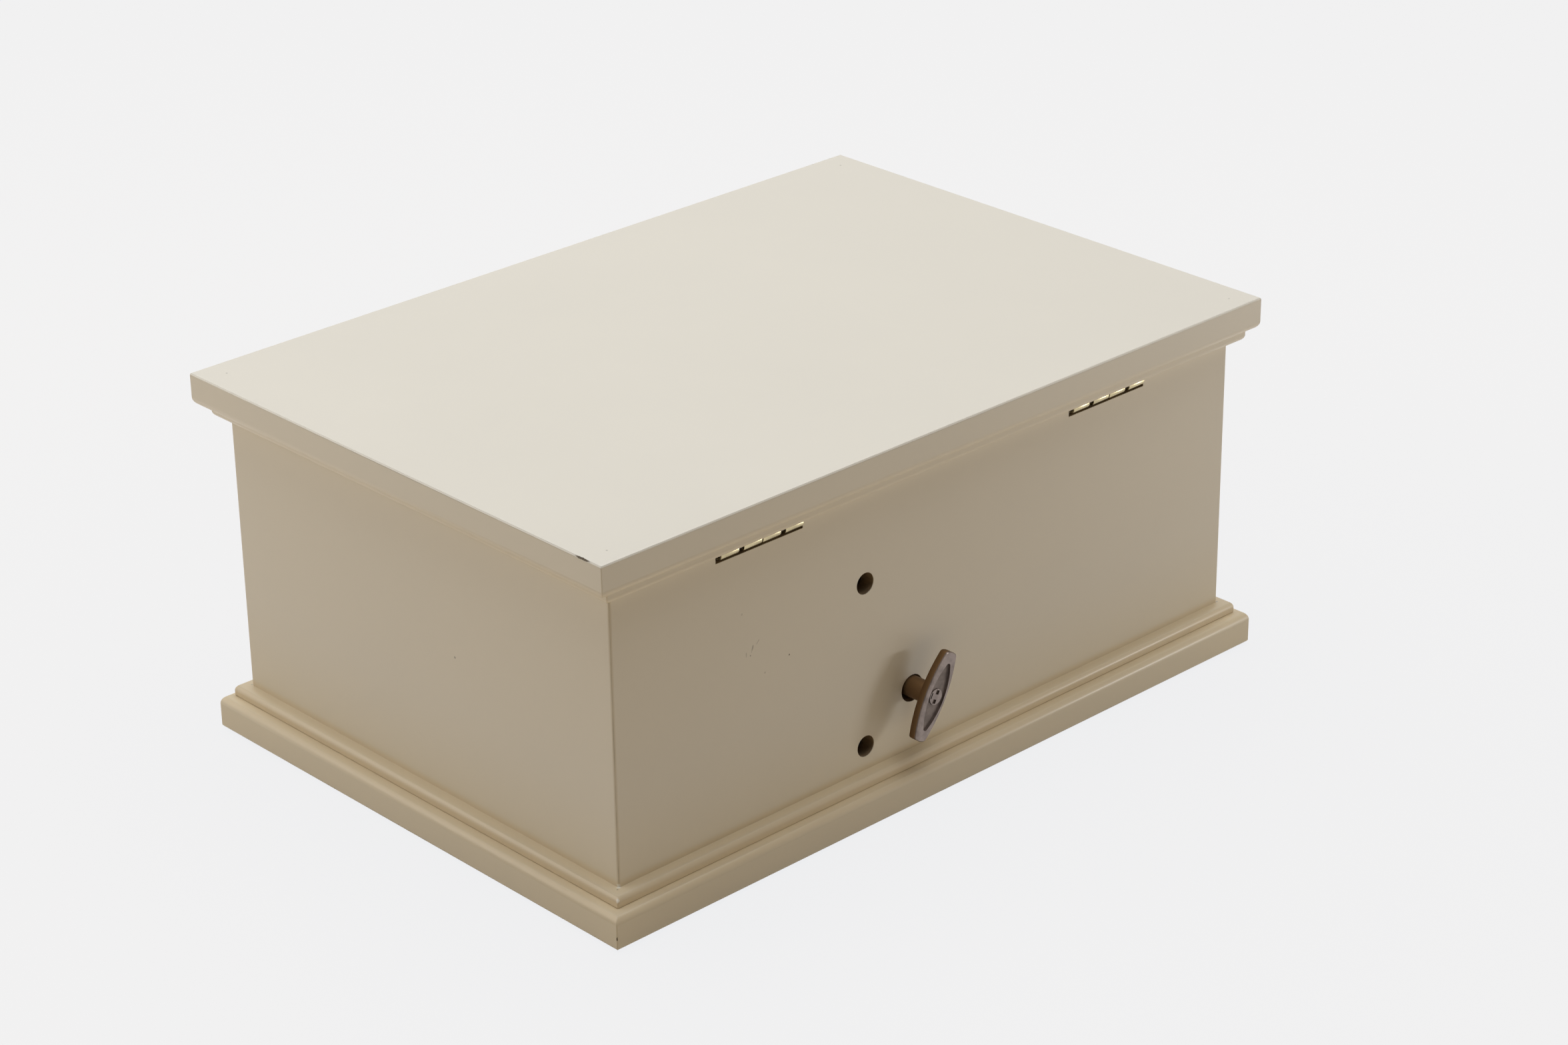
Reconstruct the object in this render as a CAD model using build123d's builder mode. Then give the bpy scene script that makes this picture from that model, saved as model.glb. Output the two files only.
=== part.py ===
from build123d import *

import math
import os

# A musical jewelry box of painted board: carcass, stepped base and lid, two small hinges, and a
# musical movement on the inside of the back wall that is wound by a key from behind.
# X runs along the width, Y along the depth with the hinged back at +Y, and Z up.

# Carcass
body_width = 235.2
body_depth = 158.9
wall_thickness = 10.0
wall_height = 83.3
wall_corner_radius = 0.8

# Base
felt_thickness = 0.8
felt_inset = 3.0
base_board_thickness = 9.7
base_step_thickness = 3.4
base_side_overhang = 7.0
base_front_overhang = 6.5
base_back_overhang = 6.9

# Lid
lid_gap = 0.3
lid_step_thickness = 3.3
lid_board_thickness = 9.6
lid_side_overhang = 7.2
lid_front_overhang = 7.5
lid_back_overhang = 6.1

# Mouldings, the same on base and lid
step_overhang = 3.65
board_edge_radius = 2.4
step_edge_radius = 1.8
crisp_edge_radius = 0.6

# Mirror in the lid
mirror_width = 190.0
mirror_depth = 104.0
mirror_thickness = 3.0
mirror_centre_y = -8.0

# Gaps
loose_fit = 0.3
close_fit = 0.05
running_fit = 0.06

# Hinges
hinge_offset = 66.2
hinge_shift = -0.6
hinge_slot_width = 30.8
knuckle_length = 6.25
knuckle_gap = 1.8
knuckle_joint = 0.4
knuckle_radius = 1.3
leaf_thickness = 0.8
leaf_stand = 0.15
leaf_width = 7.55
hinge_axis_inset = 0.6
hinge_relief = 0.4
hinge_pin_radius = 0.65
hinge_screw_radius = 0.95
hinge_screw_head_radius = 1.75
hinge_screw_length = 7.0
hinge_screw_offset = 9.0
hinge_screw_inset = 2.5

# Winding key and its hole
key_x = 10.4
key_z = 33.0
key_hole_radius = 4.05
key_hole_drop = 0.6
key_stem_radius = 3.05
key_stem_reach = 7.0
key_standoff = 6.6
arbor_radius = 2.0
arbor_grip = 8.0
bow_length = 25.1
bow_half_width = 3.95
bow_end_half_width = 1.9
bow_corner_radius = 0.9
bow_edge = 0.3
bow_thickness = 2.9
recess_length = 19.2
recess_half_width = 3.0
recess_end_half_width = 0.6
recess_corner_radius = 0.4
recess_depth = 0.7
bow_tilt = 29.0
rivet_radius = 2.3
rivet_stand = 0.35
stake_offset = 1.35
stake_width = 1.2
stake_depth = 0.5
crimp_offset = 1.8
crimp_width = 0.4
crimp_length = 1.7

# Screws that hold the movement, sunk in the back wall
movement_screw_x = 17.8
movement_screw_drop = 11.9
movement_screw_spacing = 49.2
movement_screw_radius = 1.5
movement_screw_head_radius = 2.75
movement_screw_head_height = 1.8
movement_screw_length = 11.0
screw_slot_width = 0.8
counterbore_radius = 3.15
counterbore_depth = 6.0
screw_hole_radius = 1.7

# Movement
bed_thickness = 3.5
bed_margin = 1.6
bed_corner = 2.0
screw_boss_radius = 4.0
screw_boss_height = 4.0
cylinder_rise = 9.5
cylinder_radius = 6.5
cylinder_length = 18.4
shaft_radius = 0.8
bearing_plate = 1.2
bearing_gap = 0.6
bearing_reach = 3.0
bearing_half_width = 2.4
small_screw_radius = 0.9
small_screw_head_radius = 1.5
small_screw_head_height = 0.8
small_screw_length = 3.0
screw_sides = 8
wire_sides = 8

# Toothed wheels: straight-sided teeth, as shares of the pitch at the root and at the tip
tooth_root_share = 0.56
tooth_tip_share = 0.25
tooth_addendum = 1.0
tooth_dedendum = 1.25
drive_module = 0.8
crown_teeth = 36
pinion_teeth = 12
pinion_face = 2.0
train_module = 0.48
cylinder_wheel_teeth = 30
governor_pinion_teeth = 10
train_face = 1.2
worm_module = 0.6
worm_wheel_teeth = 20
worm_starts = 2
worm_pitch_radius = 1.6
worm_wheel_face = 2.0
worm_length = 4.4

# Spring drum and drive wheel
drum_radius = 12.6
drum_end = 15.4
drum_edge = 0.9
crown_disc_gap = 0.55
crown_disc = 1.2
arbor_nut_radius = 3.4
arbor_nut_height = 1.0
bush_radius = 3.5

# Pins of the cylinder and teeth of the comb
comb_teeth = 18
comb_pitch = 0.95
comb_tooth_width = 0.62
comb_tooth_thickness = 0.7
comb_tip_gap = 0.1
comb_bass_root = 16.6
comb_treble_root = 12.6
comb_back = 24.1
comb_body_thickness = 1.5
comb_screw_radius = 1.15
comb_screw_head_radius = 2.0
comb_screw_head_height = 1.3
comb_screw_spacing = 11.5
comb_screw_inset = 3.5
pins_per_track = 3
pin_height = 0.55
pin_width = 0.45
pin_free_angle = 10.0

# Fan of the governor
fan_radius = 5.0
fan_width = 2.2
fan_blade = 0.5
fan_hub_radius = 1.5
fan_gap = 0.55
bridge_reach = 17.2
pivot_depth = 1.3

# Stop lever, a bent wire that the lid holds down
lever_wire_radius = 0.7
lever_pivot_x = 8.8
lever_pivot_z = 8.8
lever_eye_radius = 2.6
lever_knee_x = -1.7
lever_foot_length = 3.5
lever_bend_radius = 1.6
lever_shoulder_radius = 1.2
lever_head_radius = 2.4
lever_head_height = 0.9

# Inside of the box
movement_room = 23.5
partition_thickness = 4.0
deck_thickness = 3.0
tray_height = 25.0
tray_wall = 4.0
tray_floor = 3.0
divider_thickness = 3.0
divider_height = 19.0
lining_thickness = 3.0
floor_pad_thickness = 3.0
pad_edge_radius = 1.2
batten_size = 6.0
rolls_end_x = -6.5
ring_rolls = 6
ring_roll_height = 15.0
ring_roll_draw = 0.6
front_cell_depth = 50.0
rear_cell_x = 50.0
tray_pad_thickness = 3.0
window_left = 24.5
window_right = 24.5
window_depth = 13.0
window_front_bar = 3.6
window_thickness = 1.8
window_ledge = 2.0
lever_slot_left = 9.5
lever_slot_right = 3.0

# Levels
base_board_top = felt_thickness + base_board_thickness
base_top = base_board_top + base_step_thickness
wall_top = base_top + wall_height
lid_bottom = wall_top + lid_gap
lid_board_bottom = lid_bottom + lid_step_thickness

# Faces of the carcass
inner_width = body_width - 2 * wall_thickness
inner_depth = body_depth - 2 * wall_thickness
back_face = body_depth / 2
inner_back = back_face - wall_thickness

# Places on the movement
bed_face = inner_back - bed_thickness
cylinder_y = bed_face - cylinder_rise
crown_pitch_radius = drive_module * crown_teeth / 2
pinion_pitch_radius = drive_module * pinion_teeth / 2
crown_inner = crown_pitch_radius - pinion_face / 2
crown_outer = crown_pitch_radius + pinion_face / 2
train_distance = train_module * (cylinder_wheel_teeth + governor_pinion_teeth) / 2
worm_wheel_radius = worm_module * worm_wheel_teeth / 2
governor_x = key_x - train_distance
worm_x = governor_x - worm_wheel_radius - worm_pitch_radius

# Levels up the cylinder, from its pinion to the governor
pinion_bottom = key_z + crown_inner
bracket_bottom = key_z + crown_outer + bearing_gap
cylinder_bottom = bracket_bottom + bearing_plate + bearing_gap
cylinder_top = cylinder_bottom + cylinder_length
wheel_bottom = cylinder_top + bearing_gap
plate_bottom = wheel_bottom + train_face + bearing_gap
worm_z = plate_bottom + bearing_plate + bearing_gap + worm_wheel_face / 2
plate_top = worm_z + worm_wheel_face / 2 + bearing_gap + bearing_plate
shaft_top = plate_bottom + bearing_plate + close_fit
fan_y = bed_face - fan_gap - fan_width / 2
fan_top = worm_z + fan_radius


def save(piece, name):
    """Names a finished piece and writes it."""
    piece.label = name
    export_step(piece, f"parts/{name}.step")


def moulded_board(side, front, back, bottom, thickness):
    """A board with sharp upright corners that stands out beyond the carcass on every side."""
    with BuildPart() as board:
        with BuildSketch(Plane.XY.offset(bottom)):
            with Locations((0, (back - front) / 2)):
                Rectangle(body_width + 2 * side, body_depth + front + back)
        extrude(amount=thickness)
    return board.part


def mitred_outline(*sector):
    """The part of the carcass's plan that lies in one sector, between two mitres."""
    with BuildSketch(Plane.XY.offset(base_top)) as outline:
        RectangleRounded(body_width, body_depth, wall_corner_radius)
        Rectangle(inner_width, inner_depth, mode=Mode.SUBTRACT)
        Polygon(*sector, mode=Mode.INTERSECT)
    return outline.sketch


def side_sector(side):
    """Sector of a side wall, with side +1 for the right and -1 for the left."""
    reach = 2 * wall_thickness
    corner_x, corner_y = body_width / 2, body_depth / 2
    return [
        (side * (corner_x + reach), corner_y + reach),
        (side * (corner_x - reach), corner_y - reach),
        (side * (corner_x - reach), reach - corner_y),
        (side * (corner_x + reach), -corner_y - reach),
    ]


def long_sector(side):
    """Sector of a long wall, with side +1 for the back and -1 for the front."""
    reach = 2 * wall_thickness
    corner_x, corner_y = body_width / 2, body_depth / 2
    return [
        (-corner_x - reach, side * (corner_y + reach)),
        (corner_x + reach, side * (corner_y + reach)),
        (corner_x - reach, side * (corner_y - reach)),
        (reach - corner_x, side * (corner_y - reach)),
    ]


def behind(x, z, y=back_face):
    """A place on the back wall, looking out of the box."""
    return Plane(origin=(x, y, z), x_dir=(-1, 0, 0), z_dir=(0, 1, 0)).location


def on_bed(x, z, height=0.0):
    """A plane parallel to the movement's bed, at a height above it, looking into the box."""
    return Plane(origin=(x, bed_face - height, z), x_dir=(1, 0, 0), z_dir=(0, -1, 0))


def gear_outline(plane, teeth, module, first_tooth=0.0, bore=0.0):
    """A toothed disc, flat between its straight-sided teeth. One is centred at the angle first_tooth."""
    pitch_radius = module * teeth / 2
    root = pitch_radius - tooth_dedendum * module
    tip = pitch_radius + tooth_addendum * module
    half_root = tooth_root_share * math.pi * module / 2
    half_tip = tooth_tip_share * math.pi * module / 2
    foot = math.sqrt(root**2 - half_root**2) * 0.97
    with BuildSketch(plane) as outline:
        RegularPolygon(root, teeth, major_radius=False, rotation=first_tooth, align=None)
        with PolarLocations(0, teeth, start_angle=first_tooth):
            Polygon((foot, -half_root), (tip, -half_tip), (tip, half_tip), (foot, half_root))
        if bore:
            Circle(bore, mode=Mode.SUBTRACT)
    return outline.sketch


os.makedirs("parts", exist_ok=True)

# Base
with BuildPart() as base_felt:
    with BuildSketch():
        with Locations((0, (base_back_overhang - base_front_overhang) / 2)):
            Rectangle(
                body_width + 2 * (base_side_overhang - felt_inset),
                body_depth + base_front_overhang + base_back_overhang - 2 * felt_inset,
            )
    extrude(amount=felt_thickness)
save(base_felt.part, "base_felt")

with BuildPart() as base_board:
    add(
        moulded_board(
            base_side_overhang,
            base_front_overhang,
            base_back_overhang,
            felt_thickness,
            base_board_thickness,
        )
    )
    fillet(base_board.faces().sort_by(Axis.Z)[-1].edges(), board_edge_radius)
    fillet(base_board.faces().sort_by(Axis.Z)[0].edges(), crisp_edge_radius)
save(base_board.part, "base_board")

with BuildPart() as base_step:
    add(moulded_board(step_overhang, step_overhang, step_overhang, base_board_top, base_step_thickness))
    fillet(base_step.faces().sort_by(Axis.Z)[-1].edges(), step_edge_radius)
save(base_step.part, "base_step")

# Walls, mitred at the corners
with BuildPart() as front_wall:
    extrude(mitred_outline(*long_sector(-1)), amount=wall_height)
save(front_wall.part, "front_wall")

for side, name in ((-1, "left_wall"), (1, "right_wall")):
    with BuildPart() as side_wall:
        extrude(mitred_outline(*side_sector(side)), amount=wall_height)
    save(side_wall.part, name)

# The hinge's axis and its two leaves: one lies in a slot in the back wall, the other under the lid
hinge_y = back_face - hinge_axis_inset
hinge_z = lid_bottom - knuckle_radius - leaf_stand
barrel_front = hinge_y - knuckle_radius - loose_fit
leaf_edge = hinge_y - leaf_width
body_leaf_bottom = hinge_z - knuckle_radius - leaf_stand
body_leaf_top = body_leaf_bottom + leaf_thickness
lid_leaf_bottom = lid_bottom - leaf_thickness
hinge_screw_y = leaf_edge + hinge_screw_inset
hinge_length = 4 * knuckle_length + 2 * knuckle_gap + knuckle_joint
hinge_places = {"left": -hinge_offset, "right": hinge_offset}


def hinge_screw_spots(centre):
    """Where the two screws of a leaf stand along the hinge."""
    middle = centre + hinge_shift
    return [middle - hinge_screw_offset, middle + hinge_screw_offset]


hinge_screw_xs = [x for centre in hinge_places.values() for x in hinge_screw_spots(centre)]


def hinge_screws(level, up, clearance=0.0):
    """Flat-headed screws with their heads at a level, pointing down where up is +1, or their holes."""
    taper = hinge_screw_head_radius - hinge_screw_radius
    shaft, head = hinge_screw_radius + clearance, hinge_screw_head_radius + clearance
    with BuildPart() as screws:
        for x in hinge_screw_xs:
            place = Plane(origin=(x, hinge_screw_y, level), z_dir=(0, 0, -up))
            with BuildSketch(place) as rim:
                RegularPolygon(head, screw_sides)
            with BuildSketch(place.offset(taper)) as neck:
                RegularPolygon(shaft, screw_sides)
            loft([rim.sketch.face(), neck.sketch.face()], ruled=True)
            extrude(neck.sketch, amount=hinge_screw_length - taper + clearance)
    return screws.part


movement_screw_zs = [
    key_z - movement_screw_drop,
    key_z - movement_screw_drop + movement_screw_spacing,
]

with BuildPart() as back_wall:
    extrude(mitred_outline(*long_sector(1)), amount=wall_height)
    with Locations(behind(key_x, key_z - key_hole_drop)):
        Hole(key_hole_radius)
    with Locations(*[behind(key_x + movement_screw_x, z) for z in movement_screw_zs]):
        CounterBoreHole(screw_hole_radius, counterbore_radius, counterbore_depth)
    for centre in hinge_places.values():
        slot_depth = back_face - leaf_edge + loose_fit
        with Locations((centre, back_face + wall_corner_radius, body_leaf_bottom)):
            Box(
                hinge_slot_width,
                slot_depth + wall_corner_radius,
                wall_height,
                align=(Align.CENTER, Align.MAX, Align.MIN),
                mode=Mode.SUBTRACT,
            )
        with Locations((centre, barrel_front, body_leaf_bottom - hinge_relief)):
            Box(
                hinge_slot_width,
                wall_thickness,
                wall_height,
                align=(Align.CENTER, Align.MIN, Align.MIN),
                mode=Mode.SUBTRACT,
            )
    add(hinge_screws(body_leaf_top, 1, close_fit), mode=Mode.SUBTRACT)
save(back_wall.part, "back_wall")

# Lid
with BuildPart() as lid_step:
    add(moulded_board(step_overhang, step_overhang, step_overhang, lid_bottom, lid_step_thickness))
    fillet(lid_step.faces().sort_by(Axis.Z)[0].edges(), step_edge_radius)
    with BuildSketch(Plane.XY.offset(lid_bottom)):
        with Locations((0, mirror_centre_y)):
            Rectangle(mirror_width + 2 * loose_fit, mirror_depth + 2 * loose_fit)
    extrude(amount=lid_step_thickness, mode=Mode.SUBTRACT)
    add(hinge_screws(lid_leaf_bottom, -1, close_fit), mode=Mode.SUBTRACT)
save(lid_step.part, "lid_step")

with BuildPart() as lid_board:
    add(
        moulded_board(
            lid_side_overhang,
            lid_front_overhang,
            lid_back_overhang,
            lid_board_bottom,
            lid_board_thickness,
        )
    )
    fillet(lid_board.faces().sort_by(Axis.Z)[0].edges(), board_edge_radius)
    fillet(lid_board.faces().sort_by(Axis.Z)[-1].edges(), crisp_edge_radius)
    add(hinge_screws(lid_leaf_bottom, -1, close_fit), mode=Mode.SUBTRACT)
save(lid_board.part, "lid_board")

with BuildPart() as lid_mirror:
    with BuildSketch(Plane.XY.offset(lid_board_bottom - mirror_thickness)):
        with Locations((0, mirror_centre_y)):
            Rectangle(mirror_width, mirror_depth)
    extrude(amount=mirror_thickness)
    chamfer(lid_mirror.faces().sort_by(Axis.Z)[0].edges(), mirror_thickness / 3, mirror_thickness * 2)
save(lid_mirror.part, "lid_mirror")


# Hinges: four knuckles, the first and third on the body's leaf, the second and fourth on the lid's
def knuckle_spans(centre):
    """The low and high X of each knuckle, from the hinge's right end to its left."""
    spans = []
    right = centre + hinge_shift + hinge_length / 2
    for gap in (knuckle_gap, knuckle_joint, knuckle_gap, 0):
        spans.append((right - knuckle_length, right))
        right -= knuckle_length + gap
    return spans


def leaf(centre, spans, bottom, up, bore):
    """A leaf with its knuckles. up is +1 where its screws are put in from above."""
    middle = centre + hinge_shift
    with BuildPart() as plate:
        with Locations((middle, leaf_edge, bottom)):
            Box(
                hinge_length,
                barrel_front - leaf_edge,
                leaf_thickness,
                align=(Align.CENTER, Align.MIN, Align.MIN),
            )
        for low, high in spans:
            with Locations((low, barrel_front, bottom)):
                Box(
                    high - low,
                    hinge_y - barrel_front - knuckle_radius / 3,
                    leaf_thickness,
                    align=(Align.MIN, Align.MIN, Align.MIN),
                )
            with BuildSketch(Plane.YZ.offset(low)):
                with Locations((hinge_y, hinge_z)):
                    Circle(knuckle_radius)
            extrude(amount=high - low)
        with BuildSketch(Plane.YZ.offset(middle - hinge_length)):
            with Locations((hinge_y, hinge_z)):
                Circle(bore)
        extrude(amount=2 * hinge_length, mode=Mode.SUBTRACT)
        head_level = bottom + leaf_thickness if up > 0 else bottom
        add(hinge_screws(head_level, up, close_fit), mode=Mode.SUBTRACT)
    return plate.part


for side, centre in hinge_places.items():
    spans = knuckle_spans(centre)
    fixed_bore, free_bore = hinge_pin_radius + close_fit / 2, hinge_pin_radius + running_fit
    body_leaf = leaf(centre, spans[0::2], body_leaf_bottom, 1, fixed_bore)
    save(body_leaf, f"hinge_body_leaf_{side}")
    lid_leaf = leaf(centre, spans[1::2], lid_leaf_bottom, -1, free_bore)
    save(lid_leaf, f"hinge_lid_leaf_{side}")

with BuildPart() as hinge_pins:
    for centre in hinge_places.values():
        with BuildSketch(Plane.YZ.offset(centre + hinge_shift - hinge_length / 2)):
            with Locations((hinge_y, hinge_z)):
                Circle(hinge_pin_radius)
        extrude(amount=hinge_length)
save(hinge_pins.part, "hinge_pins")


save(hinge_screws(body_leaf_top, 1), "hinge_screws_body")
save(hinge_screws(lid_leaf_bottom, -1), "hinge_screws_lid")

# Winding key: an oval bow with a sunk face, riveted to a stem that is screwed on the arbor
stem_end = back_face + key_standoff
bow_plane = Plane(
    origin=(key_x, stem_end, key_z),
    x_dir=(-math.cos(math.radians(bow_tilt)), 0, -math.sin(math.radians(bow_tilt))),
    z_dir=(0, 1, 0),
)


def bow_outline(plane, length, side, end, corner):
    """Two long arcs between two short ends, with the half widths of the middle and of the ends."""
    half = length / 2
    with BuildSketch(plane) as outline:
        with BuildLine():
            ThreePointArc((-end, -half), (-side, 0), (-end, half))
            ThreePointArc((-end, half), (0, half + end / 4), (end, half))
            ThreePointArc((end, half), (side, 0), (end, -half))
            ThreePointArc((end, -half), (0, -half - end / 4), (-end, -half))
        make_face()
        fillet(outline.vertices(), corner)
    return outline.sketch


with BuildPart() as key_bow:
    extrude(
        bow_outline(bow_plane, bow_length, bow_half_width, bow_end_half_width, bow_corner_radius),
        amount=bow_thickness,
    )
    chamfer(key_bow.faces().sort_by(Axis.Y)[-1].edges(), bow_edge)
    extrude(
        bow_outline(
            bow_plane.offset(bow_thickness),
            recess_length,
            recess_half_width,
            recess_end_half_width,
            recess_corner_radius,
        ),
        amount=-recess_depth,
        mode=Mode.SUBTRACT,
    )
    with Locations(bow_plane.offset(bow_thickness).location):
        Hole(rivet_radius + close_fit)
save(key_bow.part, "key_bow")

stem_start = back_face - key_stem_reach
arbor_tip = stem_start + arbor_grip
rivet_length = bow_thickness - recess_depth + rivet_stand
with BuildPart() as key_stem:
    with BuildSketch(Plane(behind(key_x, key_z, stem_start))):
        Circle(key_stem_radius)
    extrude(amount=stem_end - stem_start)
    with BuildSketch(Plane(behind(key_x, key_z, stem_end))):
        Circle(rivet_radius)
    extrude(amount=rivet_length)
    with BuildSketch(Plane(behind(key_x, key_z, stem_start))):
        Circle(arbor_radius + close_fit / 2)
    extrude(amount=arbor_grip, mode=Mode.SUBTRACT)
    with BuildSketch(bow_plane.offset(rivet_length)):
        with GridLocations(0, 2 * stake_offset, 1, 2):
            Rectangle(stake_width, stake_width)
        with Locations((-crimp_offset, 0)):
            Rectangle(crimp_width, crimp_length)
    extrude(amount=-stake_depth, mode=Mode.SUBTRACT)
save(key_stem.part, "key_stem")

nut_start = drum_end + bearing_gap / 2
nut_end = nut_start + arbor_nut_height
with BuildPart() as winding_arbor:
    with BuildSketch(on_bed(key_x, key_z, nut_end + arbor_nut_height / 2)):
        Circle(arbor_radius)
    extrude(amount=bed_face - nut_end - arbor_nut_height / 2 - arbor_tip)
    with BuildSketch(on_bed(key_x, key_z, nut_start)):
        RegularPolygon(arbor_nut_radius, 6)
    extrude(amount=arbor_nut_height)
save(winding_arbor.part, "winding_arbor")

# Bedplate of the movement, a casting with the comb's seat and the screw bosses
seat_height = cylinder_rise - comb_tooth_thickness / 2
comb_first = cylinder_bottom + (cylinder_length - (comb_teeth - 1) * comb_pitch) / 2
comb_low = comb_first - comb_pitch
comb_high = comb_first + comb_teeth * comb_pitch
lever_x = worm_x + lever_pivot_x
lever_z = worm_z + lever_pivot_z
lever_y = fan_y
lever_boss_height = bed_face - lever_y - lever_wire_radius - loose_fit / 2
bed_low = key_z - crown_outer - bed_margin
bed_left = worm_x - fan_radius - bed_margin / 2
bed_right = key_x + comb_back + bed_margin / 4
bed_high = max(comb_high + 2 * bed_margin, plate_top + bed_margin)
drum_side = key_x - crown_outer - bed_margin
bridge_bottom = worm_z - fan_radius - bearing_gap - bearing_plate
bridge_foot = bridge_bottom - 4 * small_screw_head_radius
shoulder = key_z + crown_outer


def shafts(spots, seat, radius, length):
    """Screw shafts, or their holes, that go down from a seat above the bed."""
    with BuildPart() as pieces:
        with BuildSketch(on_bed(0, 0, seat)):
            with Locations(*spots):
                RegularPolygon(radius, screw_sides)
        extrude(amount=-length)
    return pieces.part


def comb_outline(plane, setback):
    """The comb's solid part: its front edge slants from the long bass teeth to the short treble ones."""
    with BuildSketch(plane) as outline:
        Polygon(
            (key_x + comb_bass_root + setback, comb_low),
            (key_x + comb_back, comb_low),
            (key_x + comb_back, comb_high),
            (key_x + comb_treble_root + setback, comb_high),
        )
    return outline.sketch


comb_screw_x = key_x + comb_back - comb_screw_inset
comb_middle = (comb_low + comb_high) / 2
comb_screw_spots = [(comb_screw_x, comb_middle + side * comb_screw_spacing / 2) for side in (-1, 1)]
comb_screw_depth = seat_height / 2
comb_face = seat_height + comb_body_thickness
governor_screw_z = (plate_bottom + plate_top) / 2
small_screw_spots = [
    (governor_x, governor_screw_z),
    (key_x - bearing_half_width / 4, governor_screw_z),
    (key_x, bracket_bottom + bearing_plate + 1.6 * small_screw_head_radius),
    (worm_x, bridge_foot + 1.6 * small_screw_head_radius),
]

with BuildPart() as bedplate:
    with BuildSketch(on_bed(0, 0)) as bed_outline:
        Polygon(
            (drum_side, bed_low),
            (bed_right, bed_low),
            (bed_right, comb_high + bed_margin),
            (bed_right - 4 * bed_margin, bed_high),
            (bed_left, bed_high),
            (bed_left, bridge_foot - bed_margin),
            (drum_side, shoulder),
        )
        chamfer(bed_outline.vertices(), bed_corner)
    extrude(amount=-bed_thickness)
    with BuildSketch(on_bed(lever_x, lever_z)):
        Circle(lever_head_radius + bed_margin)
        with Locations((0, (bed_high - bed_margin - lever_z) / 2)):
            Rectangle(2 * (lever_head_radius + bed_margin), lever_z - bed_high + bed_margin)
    extrude(amount=-bed_thickness)
    with BuildSketch(on_bed(lever_x, lever_z)):
        Circle(lever_head_radius)
    extrude(amount=lever_boss_height)
    extrude(comb_outline(on_bed(0, 0), bed_margin / 4), amount=seat_height)
    for z in movement_screw_zs:
        with BuildSketch(on_bed(key_x + movement_screw_x, z)):
            Circle(screw_boss_radius)
        extrude(amount=screw_boss_height)
    with Locations(on_bed(key_x, key_z).location):
        Hole(bush_radius + close_fit / 2)
    add(
        shafts(
            [(key_x + movement_screw_x, z) for z in movement_screw_zs],
            screw_boss_height,
            movement_screw_radius + close_fit,
            screw_boss_height + bed_thickness,
        ),
        mode=Mode.SUBTRACT,
    )
    for spots, seat, radius, length in (
        (comb_screw_spots, seat_height, comb_screw_radius, comb_screw_depth),
        (small_screw_spots, 0, small_screw_radius, small_screw_length),
        ([(lever_x, lever_z)], lever_boss_height, small_screw_radius, lever_boss_height + small_screw_length),
    ):
        add(shafts(spots, seat, radius + close_fit, length + close_fit), mode=Mode.SUBTRACT)
    with Locations(on_bed(worm_x, worm_z).location):
        Hole(shaft_radius + running_fit, depth=pivot_depth)
save(bedplate.part, "bedplate")

with BuildPart() as movement_screws:
    for z in movement_screw_zs:
        seat = Plane(behind(key_x + movement_screw_x, z, back_face - counterbore_depth))
        with BuildSketch(seat):
            RegularPolygon(movement_screw_radius, screw_sides)
        extrude(amount=-movement_screw_length)
        with BuildSketch(seat):
            RegularPolygon(movement_screw_head_radius, 2 * screw_sides)
        extrude(amount=movement_screw_head_height)
        with Locations(seat.offset(movement_screw_head_height).location):
            Box(3 * screw_slot_width, screw_slot_width, 2 * screw_slot_width, mode=Mode.SUBTRACT)
            Box(screw_slot_width, 3 * screw_slot_width, 2 * screw_slot_width, mode=Mode.SUBTRACT)
save(movement_screws.part, "movement_screws")

with BuildPart() as arbor_bush:
    with BuildSketch(on_bed(key_x, key_z)):
        Circle(bush_radius)
        Circle(arbor_radius + running_fit, mode=Mode.SUBTRACT)
    extrude(amount=-bed_thickness)
save(arbor_bush.part, "arbor_bush")

# Drive wheel with crown teeth round its rim, and the spring drum on it
crown_pitch_level = cylinder_rise - pinion_pitch_radius
crown_root_level = crown_pitch_level - tooth_dedendum * drive_module
crown_tip_level = crown_pitch_level + tooth_addendum * drive_module
disc_level = crown_disc_gap + crown_disc

with BuildPart() as crown_tooth:
    with BuildSketch(Plane.YZ.offset(close_fit - pinion_face / 2)):
        half_root = tooth_root_share * math.pi * drive_module / 2
        half_tip = tooth_tip_share * math.pi * drive_module / 2
        tooth_height = crown_tip_level - crown_root_level
        Polygon((-half_root, 0), (half_root, 0), (half_tip, tooth_height), (-half_tip, tooth_height))
    extrude(amount=pinion_face - 2 * close_fit)

with BuildPart() as drive_wheel:
    with BuildSketch(on_bed(key_x, key_z, crown_disc_gap)):
        Circle(crown_outer)
        Circle(arbor_radius + running_fit, mode=Mode.SUBTRACT)
    extrude(amount=crown_disc)
    with BuildSketch(on_bed(key_x, key_z, disc_level)):
        Circle(crown_outer)
        Circle(crown_inner, mode=Mode.SUBTRACT)
    extrude(amount=crown_root_level - disc_level)
    with Locations(on_bed(key_x, key_z, crown_root_level).location):
        with PolarLocations(crown_pitch_radius, crown_teeth, start_angle=180 / crown_teeth):
            add(crown_tooth.part)
save(drive_wheel.part, "drive_wheel")

with BuildPart() as spring_drum:
    with BuildSketch(on_bed(key_x, key_z, disc_level)):
        Circle(drum_radius)
    extrude(amount=drum_end - disc_level)
    chamfer(spring_drum.faces().sort_by(Axis.Y)[0].edges(), drum_edge)
    with Locations(on_bed(key_x, key_z, drum_end).location):
        Hole(arbor_radius + running_fit)
save(spring_drum.part, "spring_drum")

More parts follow.
